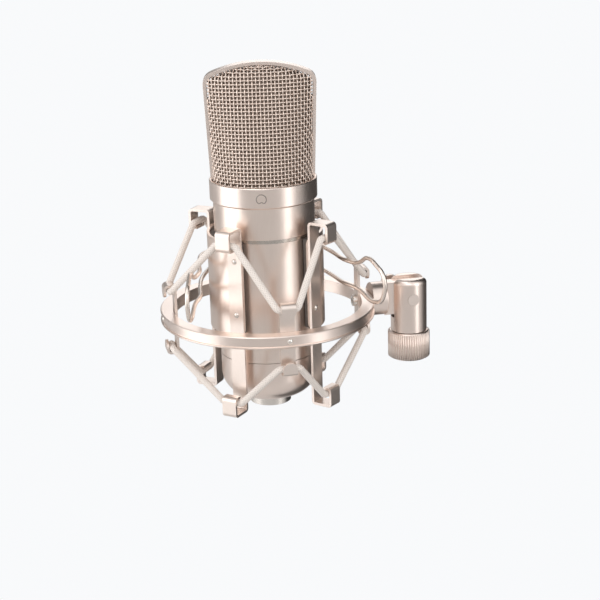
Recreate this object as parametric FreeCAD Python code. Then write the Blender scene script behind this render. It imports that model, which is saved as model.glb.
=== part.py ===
"""Large-diaphragm condenser microphone in a spring-loaded spider shock mount.

All sizes are millimetres, +Z is up.  The origin is the mouth of the stand socket, on the stand's
axis.  The shock-mount ring stands off to -X and the front of the mount faces -Y.
Ring, cage and microphone are drawn about the microphone's own axis, with height zero at the
middle of the ring, and are moved to their place when they are saved.
"""
import FreeCAD, Part
import math
import os

Vec = FreeCAD.Vector
UP = Vec(0, 0, 1)
ORIGIN = Vec(0, 0, 0)

# --- overall places ------------------------------------------------------------------------------
STAND_TO_MIC = 67.5          # stand axis to microphone axis
SLEEVE_LENGTH = 13.2         # knurled sleeve, mouth to shoulder
RUN_GAP = 0.3                # between faces that turn or slide past each other
BARREL_LENGTH = 25.4
BARREL_ROUND = 2.4           # rounding of the fork's top edge
PIVOT_BELOW_TOP = 9.1        # pivot pin below the top of the barrel
MIC_TURN = -11.0             # the microphone's front, turned in the cage towards -X

# --- stand socket and swivel ---------------------------------------------------------------------
SLEEVE_RADIUS = 9.75
THREAD_BORE_RADIUS = 7.4     # plain bore at the minor diameter of a 5/8"-27 thread
THREAD_DEPTH = 10.6
SPIGOT_RADIUS = 4.2
SPIGOT_LENGTH = 5.2
CLIP_GROOVE = 0.6
CLIP_OPENING = 2.0
CLIP_THICKNESS = 0.8
CLIP_OVERHANG = 1.0
BARREL_RADIUS = 8.45
SLOT_WIDTH = 6.0
SLOT_DEPTH = 18.6
TONGUE_PLAY = 0.15           # each side of the tongue in the slot
TONGUE_HALF_HEIGHT = 7.75
BOSS_RADIUS = 7.75
BOSS_LENGTH = 6.9
PIVOT_RADIUS = 2.7
PIVOT_FIT = 0.06             # running fit of the pivot screw
WING_HUB_RADIUS = 4.4
WING_HUB_LENGTH = 4.2
WING_SPAN = 10.4             # from the screw's axis to a wing's tip
WING_THICKNESS = 2.2
WING_LOBE = 4.3
WING_RAKE = 12.0             # how far the wings stand from level, in degrees
WASHER_THICKNESS = 0.8
BOSS_SCREW_RADIUS = 1.9
BOSS_SCREW_HEAD = 2.7
BOSS_SCREW_GRIP = 5.5        # how far the screw goes into the boss

# --- suspension ring -----------------------------------------------------------------------------
RING_RADIUS = 49.1
RING_WIDTH = 5.7
RING_HEIGHT = 5.6
CHANNEL_DEPTH = 0.7
LIP = 0.8
STRIP = 1.2                  # sheet thickness of the ring's hooks
RING_HOOK_WIDTH = 6.6
RING_HOOK_TOP = 16.4
RING_HOOK_TAB = 6.2
CORD_RADIUS = 1.55
CORD_PLAY = 0.15
CORD_OVERRUN = 1.2           # straight part of a cord past each side of a hook
CORD_BEND = 2.6
HOOK_BEND = 1.5              # bend radius at the middle of a hook's sheet
RIVET_RADIUS = 1.3
RIVET_HEAD = 0.6

# --- cage ----------------------------------------------------------------------------------------
SHELL_RADIUS = 26.3
SHELL_WALL = 1.2
SHELL_BOTTOM = -5.6
SHELL_TOP = 38.0
SHELL_CORNER = 4.0
SHELL_FRONT = 34.5           # front edge, in degrees from the front of the mount
SHELL_BACK = 162.0
LINER_INSET = 1.2            # liner edge back from the shell's edge
ARM_WIDTH = 7.0
ARM_SHEET = 1.2
ARM_FRONT = 41.5             # degrees from the front
ARM_BACK = 127.0
ARM_TOP = 45.4
ARM_BOTTOM = -40.4
ARM_REACH = 37.0             # outer face of a hook's tab, from the microphone's axis
ARM_TAB = 9.4
ARM_LIP = 3.6
ARM_RIVETS = (29.8, 5.0)     # heights of the rivets
HINGE_RADIUS = 32.0          # hinge pin from the microphone's axis
HINGE_PIN_RADIUS = 1.5
HINGE_FIT = 0.06
KNUCKLE_RADIUS = 2.7
HINGE_BOTTOM = 2.0
HINGE_TOP = 34.0
KNUCKLE_LENGTH = 5.0
PIN_END = 1.3                # the pin's heads, with their play, past the outer knuckles
WEB_THICKNESS = 1.6
PAD_THICKNESS = 1.2
PAD_ANGLE = 11.0             # width of a knuckle's pad on the shell
PAD_EDGE = 1.0               # pad back from the shell's edge, in degrees
SPRING_RADIUS = 2.7

# --- squeeze handles -----------------------------------------------------------------------------
WIRE_RADIUS = 0.95
HANDLE_NECK_SIDE = 37.2
HANDLE_NECK_FORWARD = 24.0
HANDLE_TURN = 16.0           # the grip points this far out from straight ahead, in degrees
GRIP_LENGTH = 23.0
WIRE_HIGH = 24.6
WIRE_LOW = 13.4
GRIP_TOP = 30.6
GRIP_BOTTOM = 9.8
BRANCH_RADIUS = 31.6         # the wire beside the cage, from the microphone's axis
BACK_RADIUS = 37.2           # the wire where it passes behind the hinge
CROSS_STEP = 2.6             # the two handles pass each other this far apart in height
GRIP_TURNS = ((0.36, 0.0), (0.9, -5.0))  # along the grip and below its top
GRIP_RETURN = ((0.86, 2.0), (0.45, 0.0)) # along the grip and above its bottom
ROUTE_BEHIND = (-163.0, 172.0)           # angles where the wire passes behind the hinge
ROUTE_BESIDE = (118.0, 84.0)             # angles where it lies beside the cage
ROUTE_LEAVE = 148.0                      # angle where it leaves the back
ROUTE_LEAVE_STEP = 2.5
ROUTE_AHEAD = 14.0                       # where the wire turns out to its grip
ANCHOR_ANGLE = 143.0
ANCHOR_HALF_ANGLE = 4.0
ANCHOR_SEAT = 1.6                        # wire's axis off the shell
ANCHOR_WIRE_END = 139.0
ANCHOR_WALL = 0.9
ANCHOR_LENGTH = 3.6
ANCHOR_FOOT = 2.4
ANCHOR_HALF_HEIGHT = 1.8

# --- microphone ----------------------------------------------------------------------------------
TUBE_RADIUS = 22.14
GRIP_GAP = 0.3               # liner to body
UPPER_RADIUS = 22.83
COLLAR_RADIUS = 24.2
WALL = 1.5
CUP_BOTTOM = -39.7
CUP_BAND_BOTTOM = -28.0
CUP_TOP = -19.2
SEAM = 0.25
TRIM_BOTTOM = 36.95
TRIM_HEIGHT = 1.55
TRIM_RADIUS = 22.5
COLLAR_BOTTOM = 52.8
COLLAR_TOP = 62.2
HEAD_TOP = 114.1
HEAD_SHOULDER = 110.2        # the arch's outer face where the rounded corner starts
HEAD_FOOT_HALF = 23.0        # half width of the arch at the collar's rim
HEAD_HALF = 24.95            # half width of the arch at its corners
HEAD_CORNER = 5.5
BAND_THICKNESS = 1.5
BAND_DEPTH = 6.0
BASKET_FOOT_DEPTH = 21.8     # half depth of the basket at the collar
BASKET_TOP_DEPTH = 9.0       # half depth where the arch's corners start
BASKET_EDGE = 3.0            # rounding between the basket's front and its top
BASKET_SECTIONS = 5
MESH_SET_BACK = 0.5
MESH_THICKNESS = 1.3
MESH_GAP = 0.1
INNER_MESH_SPACE = 2.0
INNER_MESH_WALL = 0.5
DECK_THICKNESS = 2.0
DECK_BOTTOM = COLLAR_BOTTOM + 1.65
HEAD_FOOT = COLLAR_BOTTOM + 1.7
SADDLE_FOOT = 2.0
SADDLE_FOOT_RADIUS = 10.0
SADDLE_POST_RADIUS = 5.0
SADDLE_SCREW_PLACE = 7.4
CRADLE_FLOOR = 2.0           # cradle below the capsule
CRADLE_WIDTH = 28.9
CRADLE_RISE = 9.35           # the cradle's arms, up from the capsule's lowest point
CAPSULE_HEIGHT = 84.0
CAPSULE_RADIUS = 17.0
CAPSULE_DEPTH = 7.0
DIAPHRAGM_RADIUS = 13.5
DIAPHRAGM_THICKNESS = 0.3
DIAPHRAGM_SEAT = 0.8
SEAT_FIT = 0.02
CUP_MOUTH_RADIUS = 11.2
CUP_KNEE = (19.6, -35.4)     # radius and height of a point on the rounded taper
CUP_SPIGOT = 5.0
CUP_WALL_FOOT = (-29.0, -34.0)
XLR_FLANGE = -28.0
XLR_INSERT = 3.0
PIN_BACK = 5.0
PIN_ROUND = 0.6
XLR_RADIUS = 9.5
XLR_BORE_RADIUS = 7.95
XLR_MOUTH = -44.0
XLR_FACE = -31.5
XLR_PIN_RADIUS = 1.2
XLR_PIN_LENGTH = 10.0
XLR_PIN_CIRCLE = 3.5
BOARD_WIDTH = 32.0
BOARD_HEIGHT = 52.0
BOARD_MIDDLE = 18.0
BOARD_THICKNESS = 1.6
RAIL_PLACE = 16.0
CORE_SIZE = (16.0, 9.0, 14.0)            # transformer
CORE_HEIGHT = -1.0
CAPACITOR = (4.0, 8.0)                   # radius and length
CAPACITOR_PLACES = ((-7.0, 16.0), (7.0, 16.0))
RELAY_SIZE = (8.0, 5.0, 6.0)
RELAY_PLACES = ((-8.0, 30.0), (6.0, 30.0))
TRANSISTOR = (2.4, 6.0)
TRANSISTOR_HEIGHT = 38.0
RAIL_SIZE = 3.0
SCREW_RADIUS = 1.0

# --- worked out ----------------------------------------------------------------------------------
BARREL_BOTTOM = SLEEVE_LENGTH + RUN_GAP
SPIGOT_TOP = SLEEVE_LENGTH + SPIGOT_LENGTH
CLIP_BOTTOM = SPIGOT_TOP - 2 * CLIP_THICKNESS
BARREL_TOP = BARREL_BOTTOM + BARREL_LENGTH
PIVOT_HEIGHT = BARREL_TOP - PIVOT_BELOW_TOP
RING_PLACE = Vec(-STAND_TO_MIC, 0, PIVOT_HEIGHT)
RING_INNER = RING_RADIUS - RING_WIDTH
SHELL_INNER = SHELL_RADIUS - SHELL_WALL
ARM_MIDDLE = SHELL_RADIUS + ARM_SHEET / 2
LINER_RADIUS = TUBE_RADIUS + GRIP_GAP
SADDLE_RADIUS = RING_RADIUS + 0.05
HOOK_FACE = math.sqrt(RING_INNER ** 2 - (RING_HOOK_WIDTH / 2) ** 2) - 0.02


# --- helpers -------------------------------------------------------------------------------------
def cylinder(radius, bottom, top, centre=ORIGIN):
    """Upright cylinder between two heights."""
    return Part.makeCylinder(radius, top - bottom, Vec(centre.x, centre.y, bottom), UP)


def tube(outer, inner, bottom, top, centre=ORIGIN):
    """Upright tube between two heights."""
    return cylinder(outer, bottom, top, centre).cut(cylinder(inner, bottom, top, centre))


def block(x_size, y_size, z_size, centre):
    """Box about its centre."""
    corner = Vec(centre.x - x_size / 2, centre.y - y_size / 2, centre.z - z_size / 2)
    return Part.makeBox(x_size, y_size, z_size, corner)


def turned(shape, degrees, centre=ORIGIN):
    """A copy of the shape, turned about an upright axis."""
    copy = shape.copy()
    copy.rotate(centre, UP, degrees)
    return copy


def around(angle, radius, height):
    """Point at an angle from the front (-Y), positive towards +X."""
    a = math.radians(angle)
    return Vec(radius * math.sin(a), -radius * math.cos(a), height)


def outline_face(points):
    """Flat face from a closed list of points."""
    return Part.Face(Part.makePolygon(points + [points[0]]))


def revolved(profile):
    """Solid of revolution from (radius, height) points."""
    face = outline_face([Vec(r, 0, z) for r, z in profile])
    return face.revolve(ORIGIN, UP, 360)


def sector(inner, outer, start, stop, bottom, top):
    """Part of a tube between two angles from the front."""
    corners = [Vec(inner, 0, bottom), Vec(outer, 0, bottom), Vec(outer, 0, top), Vec(inner, 0, top)]
    return turned(outline_face(corners).revolve(ORIGIN, UP, stop - start), start - 90)


def fillet_corner(before, corner, after, radius):
    """Tangent points, centre and axis of the arc that rounds one corner."""
    back = (before - corner).normalize()
    ahead = (after - corner).normalize()
    half = back.getAngle(ahead) / 2
    reach = radius / math.tan(half)
    middle = (back + ahead).normalize()
    centre = corner + middle * (radius / math.sin(half))
    axis = (back * -1).cross(ahead).normalize()
    turn = math.degrees(math.pi - 2 * half)
    return corner + back * reach, corner + ahead * reach, centre, axis, turn


def swept(points, radii, section, closed=False):
    """Straight runs joined by tangent arcs; section(point, direction) gives the flat section."""
    count = len(points)
    corners = range(count) if closed else range(1, count - 1)
    arcs = {i: fillet_corner(points[i - 1], points[i], points[(i + 1) % count], radii[i])
            for i in corners}
    pieces = []
    for i in range(count if closed else count - 1):
        j = (i + 1) % count
        start = arcs[i][1] if i in arcs else points[i]
        stop = arcs[j][0] if j in arcs else points[j]
        pieces.append(section(start, stop - start).extrude(stop - start))
    for start, _, centre, axis, turn in arcs.values():
        way = axis.cross(start - centre)
        pieces.append(section(start, way).revolve(centre, axis, turn))
    return pieces[0].multiFuse(pieces[1:]).removeSplitter()


def round_section(radius):
    """Section maker for a wire or a cord."""
    def disc(point, direction):
        return Part.Face(Part.Wire(Part.makeCircle(radius, point, direction)))
    return disc


def strip_section(width, thickness, side):
    """Section maker for a flat strip whose width lies along one fixed direction."""
    def rectangle(point, direction):
        across = side.normalize() * (width / 2)
        through = direction.cross(side).normalize() * (thickness / 2)
        return outline_face([point - across - through, point + across - through,
                             point + across + through, point - across + through])
    return rectangle


def bent_strip(profile, width, thickness, bend, angle):
    """Strip bent in the upright plane at one angle from the front, from (radius, height) points."""
    points = [around(angle, r, z) for r, z in profile]
    section = strip_section(width, thickness, around(angle + 90, 1, 0))
    return swept(points, [bend] * len(points), section)


def rivet(angle, face_radius, height, grip):
    """Radial rivet: a low head on the outside and a shank through the sheets."""
    way = around(angle, 1, 0)
    seat = around(angle, face_radius, height)
    shank = Part.makeCylinder(RIVET_RADIUS * 0.6, grip, seat - way * grip, way)
    ball = (RIVET_RADIUS ** 2 + RIVET_HEAD ** 2) / (2 * RIVET_HEAD)
    dome = Part.makeSphere(ball, seat + way * (RIVET_HEAD - ball))
    return dome.common(Part.makeCylinder(RIVET_RADIUS, RIVET_HEAD * 2, seat, way)).fuse(shank)


def rivet_hole(angle, face_radius, height, grip):
    """Cutter for a rivet's shank."""
    way = around(angle, 1, 0)
    start = around(angle, face_radius + 1, height)
    return Part.makeCylinder(RIVET_RADIUS * 0.6, grip + 1, start - way * (grip + 1), way)


def group(solids):
    """Separate solids kept together in one node."""
    return Part.makeCompound(solids)


# --- stand socket and swivel ---------------------------------------------------------------------
def thread_sleeve():
    """Knurled sleeve with the stand thread and a spigot that the barrel turns on."""
    body = cylinder(SLEEVE_RADIUS, 0, SLEEVE_LENGTH)
    body = body.makeFillet(1.0, [e for e in body.Edges if e.Length > SLEEVE_RADIUS * 4])
    spigot = cylinder(SPIGOT_RADIUS, SLEEVE_LENGTH - 0.5, SLEEVE_LENGTH + SPIGOT_LENGTH)
    groove = tube(SPIGOT_RADIUS + 1, SPIGOT_RADIUS - CLIP_GROOVE, CLIP_BOTTOM,
                  CLIP_BOTTOM + CLIP_THICKNESS)
    return body.fuse(spigot).cut(groove).cut(cylinder(THREAD_BORE_RADIUS, 0, THREAD_DEPTH))


def spigot_clip():
    """Spring clip in the spigot's groove."""
    play = 0.05
    ring = tube(SPIGOT_RADIUS + CLIP_OVERHANG, SPIGOT_RADIUS - CLIP_GROOVE, CLIP_BOTTOM + play,
                CLIP_BOTTOM + CLIP_THICKNESS - play)
    opening = block(CLIP_OPENING, SPIGOT_RADIUS * 2, 3, Vec(0, -SPIGOT_RADIUS, CLIP_BOTTOM))
    return ring.cut(opening)


def slot_cutter(width):
    """Slot for the tongue, open at the top and on both sides."""
    size = BARREL_RADIUS * 3
    bottom = BARREL_TOP - SLOT_DEPTH
    return block(size, width, SLOT_DEPTH + 2, Vec(0, 0, bottom + SLOT_DEPTH / 2 + 1))


def swivel_barrel():
    """Forked barrel, with the spigot's bore below and the pivot bore across."""
    body = cylinder(BARREL_RADIUS, BARREL_BOTTOM, BARREL_TOP)
    rim = [e for e in body.Edges if e.Length > BARREL_RADIUS * 4 and e.CenterOfMass.z > PIVOT_HEIGHT]
    body = body.makeFillet(BARREL_ROUND, rim).cut(slot_cutter(SLOT_WIDTH))
    body = body.cut(cylinder(SPIGOT_RADIUS + PIVOT_FIT, BARREL_BOTTOM, SPIGOT_TOP + RUN_GAP))
    room = SPIGOT_RADIUS + CLIP_OVERHANG + RUN_GAP
    body = body.cut(cylinder(room, CLIP_BOTTOM - RUN_GAP, CLIP_BOTTOM + CLIP_THICKNESS + RUN_GAP))
    return body.cut(pivot_bore(BARREL_RADIUS + 2, -BARREL_RADIUS - 2))


def pivot_bore(far, near):
    """Cutter for the pivot, along Y between two places."""
    return Part.makeCylinder(PIVOT_RADIUS + PIVOT_FIT, far - near, Vec(0, near, PIVOT_HEIGHT), Vec(0, 1, 0))


def wing_lobe(side):
    """One wing of the wing screw, a rounded blade."""
    y = BARREL_RADIUS + WASHER_THICKNESS + RUN_GAP + WING_HUB_LENGTH / 2 + 0.6
    way = Vec(0, 1, 0)
    tip = Vec(side * (WING_SPAN - WING_LOBE), y - WING_THICKNESS / 2, PIVOT_HEIGHT + 1.6)
    lobe = Part.makeCylinder(WING_LOBE, WING_THICKNESS, tip, way)
    root = block(WING_SPAN - WING_LOBE, WING_THICKNESS, WING_LOBE * 1.5,
                 Vec(side * (WING_SPAN - WING_LOBE) / 2, y, PIVOT_HEIGHT + 0.6))
    return lobe.fuse(root)


def wing_screw():
    """Wing screw: pivot shank through fork and tongue, hub and two wings on the far side."""
    start = -BARREL_RADIUS + 0.1
    seat = BARREL_RADIUS + WASHER_THICKNESS + RUN_GAP
    way = Vec(0, 1, 0)
    shank = Part.makeCylinder(PIVOT_RADIUS, seat - start + 0.5, Vec(0, start, PIVOT_HEIGHT), way)
    hub = Part.makeCone(WING_HUB_RADIUS, WING_HUB_RADIUS - 0.8, WING_HUB_LENGTH,
                        Vec(0, seat, PIVOT_HEIGHT), way)
    screw = hub.multiFuse([shank, wing_lobe(1), wing_lobe(-1)]).removeSplitter()
    screw.rotate(Vec(0, 0, PIVOT_HEIGHT), way, WING_RAKE)
    return screw


def pivot_washer():
    """Washer between the wing screw's hub and the fork."""
    way = Vec(0, 1, 0)
    start = Vec(0, BARREL_RADIUS, PIVOT_HEIGHT)
    disc = Part.makeCylinder(WING_HUB_RADIUS, WASHER_THICKNESS, start, way)
    return disc.cut(Part.makeCylinder(PIVOT_RADIUS + PIVOT_FIT, WASHER_THICKNESS, start, way))


def ring_boss():
    """Round boss on the ring's outside, with a tongue that enters the fork."""
    ring_face = -STAND_TO_MIC + RING_RADIUS - 1.5
    boss_end = -STAND_TO_MIC + RING_RADIUS + BOSS_LENGTH
    way = Vec(1, 0, 0)
    boss = Part.makeCylinder(BOSS_RADIUS, boss_end - ring_face, Vec(ring_face, 0, PIVOT_HEIGHT), way)
    boss = boss.makeFillet(0.6, [e for e in boss.Edges
                                 if e.Length > BOSS_RADIUS * 4 and e.CenterOfMass.x > ring_face + 1])
    thick = SLOT_WIDTH - 2 * TONGUE_PLAY
    reach = -boss_end + 1.0
    flat = block(reach, thick, 2 * TONGUE_HALF_HEIGHT, Vec(-reach / 2, 0, PIVOT_HEIGHT))
    end = Part.makeCylinder(TONGUE_HALF_HEIGHT, thick, Vec(0, -thick / 2, PIVOT_HEIGHT), Vec(0, 1, 0))
    body = boss.multiFuse([flat, end]).removeSplitter()
    body = body.cut(cylinder(SADDLE_RADIUS, 0, BARREL_TOP * 2, RING_PLACE))
    body = body.cut(pivot_bore(thick, -thick))
    return body.cut(boss_screw_shank(BOSS_SCREW_RADIUS))


def boss_screw_shank(radius):
    """Shank of the screw that pulls ring and hook against the boss."""
    start = -STAND_TO_MIC + HOOK_FACE - STRIP
    length = RING_RADIUS - HOOK_FACE + STRIP + BOSS_SCREW_GRIP
    return Part.makeCylinder(radius, length, Vec(start, 0, PIVOT_HEIGHT), Vec(1, 0, 0))


def boss_screw():
    """Round-head screw, its head inside the ring, with a hex socket."""
    way = Vec(-1, 0, 0)
    seat = Vec(-STAND_TO_MIC + HOOK_FACE - STRIP, 0, PIVOT_HEIGHT)
    head = Part.makeCylinder(BOSS_SCREW_HEAD, 2.0, seat, way)
    head = head.makeFillet(0.5, [e for e in head.Edges
                                 if e.Length > BOSS_SCREW_HEAD * 4 and e.CenterOfMass.x < seat.x - 1])
    socket = Part.makeCylinder(1.2, 1.2, seat + way * 1.0, way)
    return head.cut(socket).fuse(boss_screw_shank(BOSS_SCREW_RADIUS))


# --- suspension ring -----------------------------------------------------------------------------
def suspension_ring():
    """Flat ring with a shallow channel round its outer face."""
    half = RING_HEIGHT / 2
    floor = RING_RADIUS - CHANNEL_DEPTH
    ease = 0.4
    ring = revolved([(RING_INNER, -half), (RING_RADIUS - ease, -half), (RING_RADIUS, -half + ease),
                     (RING_RADIUS, -half + LIP), (floor, -half + LIP + 0.2),
                     (floor, half - LIP - 0.2), (RING_RADIUS, half - LIP),
                     (RING_RADIUS, half - ease), (RING_RADIUS - ease, half), (RING_INNER, half)])
    for angle in (0, 180, 270):
        ring = ring.cut(rivet_hole(angle, floor, 0, RING_WIDTH))
    ring.translate(RING_PLACE)
    ring = ring.cut(boss_screw_shank(BOSS_SCREW_RADIUS))
    ring.translate(RING_PLACE * -1)
    return ring


def ring_hook(angle):
    """Sheet hook on the ring's inner face, with a rounded tab above and below."""
    middle = HOOK_FACE - STRIP / 2
    tab = middle + STRIP + 2 * (CORD_RADIUS + CORD_PLAY)
    top = RING_HOOK_TOP - STRIP / 2
    tab_end = RING_HOOK_TOP - RING_HOOK_TAB
    profile = [(tab, -tab_end), (tab, -top), (middle, -top), (middle, top), (tab, top), (tab, tab_end)]
    hook = bent_strip(profile, RING_HOOK_WIDTH, STRIP, HOOK_BEND, angle)
    for sign in (1, -1):
        hook = hook.cut(tab_rounding(angle, tab, sign * tab_end, sign))
    if angle == 90:
        hook.translate(RING_PLACE)
        hook = hook.cut(boss_screw_shank(BOSS_SCREW_RADIUS))
        hook.translate(RING_PLACE * -1)
        return hook
    return hook.cut(rivet_hole(angle, HOOK_FACE, 0, STRIP * 2))


def tab_rounding(angle, radius, end, sign):
    """Cutter that rounds the end of a hook's tab."""
    half = RING_HOOK_WIDTH / 2
    way = around(angle, 1, 0)
    centre = around(angle, radius - STRIP, end + sign * half)
    corner = Part.makeBox(half * 2.2, STRIP * 2, half, Vec(-half * 1.1, 0, 0 if sign < 0 else -half))
    corner = turned(corner, angle + 180)
    corner.translate(around(angle, radius - STRIP, end + sign * half))
    keep = Part.makeCylinder(half, STRIP * 4, centre - way * STRIP, way)
    return corner.cut(keep)


def ring_rivets():
    """Rivets that hold three of the ring's hooks; the fourth has the boss screw."""
    face = RING_RADIUS - CHANNEL_DEPTH
    return group([rivet(angle, face, 0, face - HOOK_FACE + STRIP) for angle in (0, 180, 270)])


# --- elastic cords -------------------------------------------------------------------------------
def cord_seat(angle, width, radius, height):
    """Two points where a cord runs straight through a hook of some width."""
    side = around(angle + 90, 1, 0)
    seat = around(angle, radius, height)
    reach = width / 2 + CORD_OVERRUN
    return [seat - side * reach, seat + side * reach]


def elastic_cord(sign):
    """Closed cord, zigzag between the ring's hooks and the cage's hooks; sign 1 above, -1 below."""
    clear = CORD_RADIUS + CORD_PLAY
    on_ring = (HOOK_FACE + clear, RING_HOOK_TOP - STRIP - clear)
    top = ARM_TOP if sign > 0 else -ARM_BOTTOM
    on_cage = (ARM_REACH - ARM_SHEET - clear, top - ARM_TAB + ARM_SHEET + clear)
    stops = []
    for ring_angle, cage_angle in ((0, ARM_FRONT), (90, ARM_BACK), (180, -ARM_BACK), (-90, -ARM_FRONT)):
        stops += cord_seat(ring_angle, RING_HOOK_WIDTH, on_ring[0], sign * on_ring[1])
        stops += cord_seat(cage_angle, ARM_WIDTH, on_cage[0], sign * on_cage[1])
    return swept(stops, [CORD_BEND] * len(stops), round_section(CORD_RADIUS), closed=True)


# --- cage ----------------------------------------------------------------------------------------
def shell(side):
    """One half shell, a curved sheet with rounded corners; side 1 is +X, -1 is -X."""
    sheet = sector(SHELL_INNER, SHELL_RADIUS, SHELL_FRONT, SHELL_BACK, SHELL_BOTTOM, SHELL_TOP)
    corners = [e for e in sheet.Edges if e.Length < SHELL_WALL * 1.1]
    sheet = sheet.makeFillet(SHELL_CORNER, corners)
    for angle in (ARM_FRONT, ARM_BACK):
        for height in ARM_RIVETS:
            sheet = sheet.cut(rivet_hole(angle, SHELL_RADIUS + ARM_SHEET, height, ARM_SHEET + SHELL_WALL))
    return sheet if side > 0 else mirrored(sheet)


def mirrored(shape):
    """The same piece on the -X side."""
    return shape.mirror(ORIGIN, Vec(1, 0, 0))


def liner(side):
    """Soft liner between a half shell and the microphone's body."""
    inset = math.degrees(LINER_INSET / SHELL_INNER)
    pad = sector(LINER_RADIUS, SHELL_INNER - 0.02, SHELL_FRONT + inset, SHELL_BACK - inset,
                 SHELL_BOTTOM + LINER_INSET, SHELL_TOP - LINER_INSET)
    return pad if side > 0 else mirrored(pad)


def cage_arm(side, angle):
    """Upright strip, hooked at both ends; each hook's tab turns in to a short lip."""
    tab = ARM_REACH - ARM_SHEET / 2
    half = ARM_SHEET / 2
    top = ARM_TOP - half
    bottom = ARM_BOTTOM + half
    profile = [(tab - ARM_LIP, bottom + ARM_TAB - 2 * half), (tab, bottom + ARM_TAB - 2 * half),
               (tab, bottom), (ARM_MIDDLE, bottom), (ARM_MIDDLE, top), (tab, top),
               (tab, top - ARM_TAB + 2 * half), (tab - ARM_LIP, top - ARM_TAB + 2 * half)]
    arm = bent_strip(profile, ARM_WIDTH, ARM_SHEET, 1.2, angle)
    for height in ARM_RIVETS:
        arm = arm.cut(rivet_hole(angle, SHELL_RADIUS + ARM_SHEET, height, ARM_SHEET * 2))
    return arm if side > 0 else mirrored(arm)


def cage_rivets(side):
    """The four rivets of one half of the cage."""
    face = SHELL_RADIUS + ARM_SHEET
    rivets = [rivet(angle, face, height, ARM_SHEET + SHELL_WALL)
              for angle in (ARM_FRONT, ARM_BACK) for height in ARM_RIVETS]
    return group(rivets) if side > 0 else mirrored(group(rivets))


def knuckle_spans(side):
    """Heights of one leaf's knuckles: the +X leaf has the outer pair, the other the inner pair."""
    if side > 0:
        return ((HINGE_BOTTOM, HINGE_BOTTOM + KNUCKLE_LENGTH), (HINGE_TOP - KNUCKLE_LENGTH, HINGE_TOP))
    step = KNUCKLE_LENGTH + RUN_GAP
    return ((HINGE_BOTTOM + step, HINGE_BOTTOM + step + KNUCKLE_LENGTH),
            (HINGE_TOP - step - KNUCKLE_LENGTH, HINGE_TOP - step))


def hinge_leaf(side):
    """Two knuckles on webs from the back edge of a half shell."""
    pin = Vec(0, HINGE_RADIUS, 0)
    pad_stop = SHELL_BACK - PAD_EDGE
    foot = around(pad_stop - PAD_ANGLE / 2 - PAD_EDGE, SHELL_RADIUS, 0)
    length = (pin - foot).Length
    pieces = []
    for bottom, top in knuckle_spans(side):
        knuckle = cylinder(KNUCKLE_RADIUS, bottom, top, pin)
        web = block(length, WEB_THICKNESS, top - bottom, Vec(length / 2, 0, (bottom + top) / 2))
        web = turned(web, math.degrees(math.atan2(pin.y - foot.y, pin.x - foot.x)))
        web.translate(foot)
        pad = sector(SHELL_RADIUS, SHELL_RADIUS + PAD_THICKNESS, pad_stop - PAD_ANGLE, pad_stop,
                     bottom, top)
        piece = knuckle.multiFuse([web, pad]).removeSplitter()
        piece = piece.cut(cylinder(SHELL_RADIUS, bottom - 1, top + 1))
        pieces.append(piece.cut(cylinder(HINGE_PIN_RADIUS + HINGE_FIT, bottom - 1, top + 1, pin)))
    leaf = group(pieces)
    return leaf if side > 0 else mirrored(leaf)


def hinge_pin():
    """Hinge pin with a flat head at each end."""
    pin = Vec(0, HINGE_RADIUS, 0)
    shank = cylinder(HINGE_PIN_RADIUS, HINGE_BOTTOM - PIN_END, HINGE_TOP + PIN_END, pin)
    lower = cylinder(KNUCKLE_RADIUS, HINGE_BOTTOM - PIN_END, HINGE_BOTTOM - RUN_GAP, pin)
    upper = cylinder(KNUCKLE_RADIUS, HINGE_TOP + RUN_GAP, HINGE_TOP + PIN_END, pin)
    return shank.multiFuse([lower, upper]).removeSplitter()


def hinge_spring():
    """Envelope of the coil spring on the hinge pin, between the inner knuckles."""
    step = 2 * (KNUCKLE_LENGTH + RUN_GAP)
    pin = Vec(0, HINGE_RADIUS, 0)
    return tube(SPRING_RADIUS, HINGE_PIN_RADIUS + 0.1, HINGE_BOTTOM + step, HINGE_TOP - step, pin)


# --- squeeze handles -----------------------------------------------------------------------------
def grip_point(along, height):
    """Point of the +X grip, a distance ahead of its neck."""
    a = math.radians(HANDLE_TURN)
    side = HANDLE_NECK_SIDE + along * math.sin(a)
    forward = HANDLE_NECK_FORWARD + along * math.cos(a)
    return Vec(side, -forward, height)


def handle_branch(height, ahead):
    """One branch of the +X handle, from its end on the -X half, round the back, to the grip."""
    end = around(-ANCHOR_WIRE_END, SHELL_RADIUS + ANCHOR_SEAT, height)
    behind = [around(angle, BACK_RADIUS, height) for angle in ROUTE_BEHIND]
    leave = around(ROUTE_LEAVE, BACK_RADIUS - ROUTE_LEAVE_STEP, height)
    beside = [around(angle, BRANCH_RADIUS, ahead) for angle in ROUTE_BESIDE]
    turn = Vec(BRANCH_RADIUS + ANCHOR_WALL, -ROUTE_AHEAD, ahead)
    return [end] + behind + [leave] + beside + [turn, grip_point(0, ahead)]


def handle_route(step):
    """Wire of the +X handle: upper branch, grip, lower branch."""
    upper = handle_branch(WIRE_HIGH - step, WIRE_HIGH)
    lower = handle_branch(WIRE_LOW + step, WIRE_LOW)
    grip = [grip_point(part * GRIP_LENGTH, GRIP_TOP + drop) for part, drop in GRIP_TURNS]
    grip.append(grip_point(GRIP_LENGTH, (GRIP_TOP + GRIP_BOTTOM) / 2))
    grip += [grip_point(part * GRIP_LENGTH, GRIP_BOTTOM + rise) for part, rise in GRIP_RETURN]
    return upper + grip + lower[::-1]


def bend_radius(points, i, closed=False):
    """Largest tidy radius at one corner: 0.45 of the shorter run over the half-turn's tangent."""
    before = points[i] - points[i - 1]
    after = points[(i + 1) % len(points)] - points[i]
    half_turn = before.getAngle(after) / 2
    return 0.45 * min(before.Length, after.Length) / math.tan(half_turn)


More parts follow.
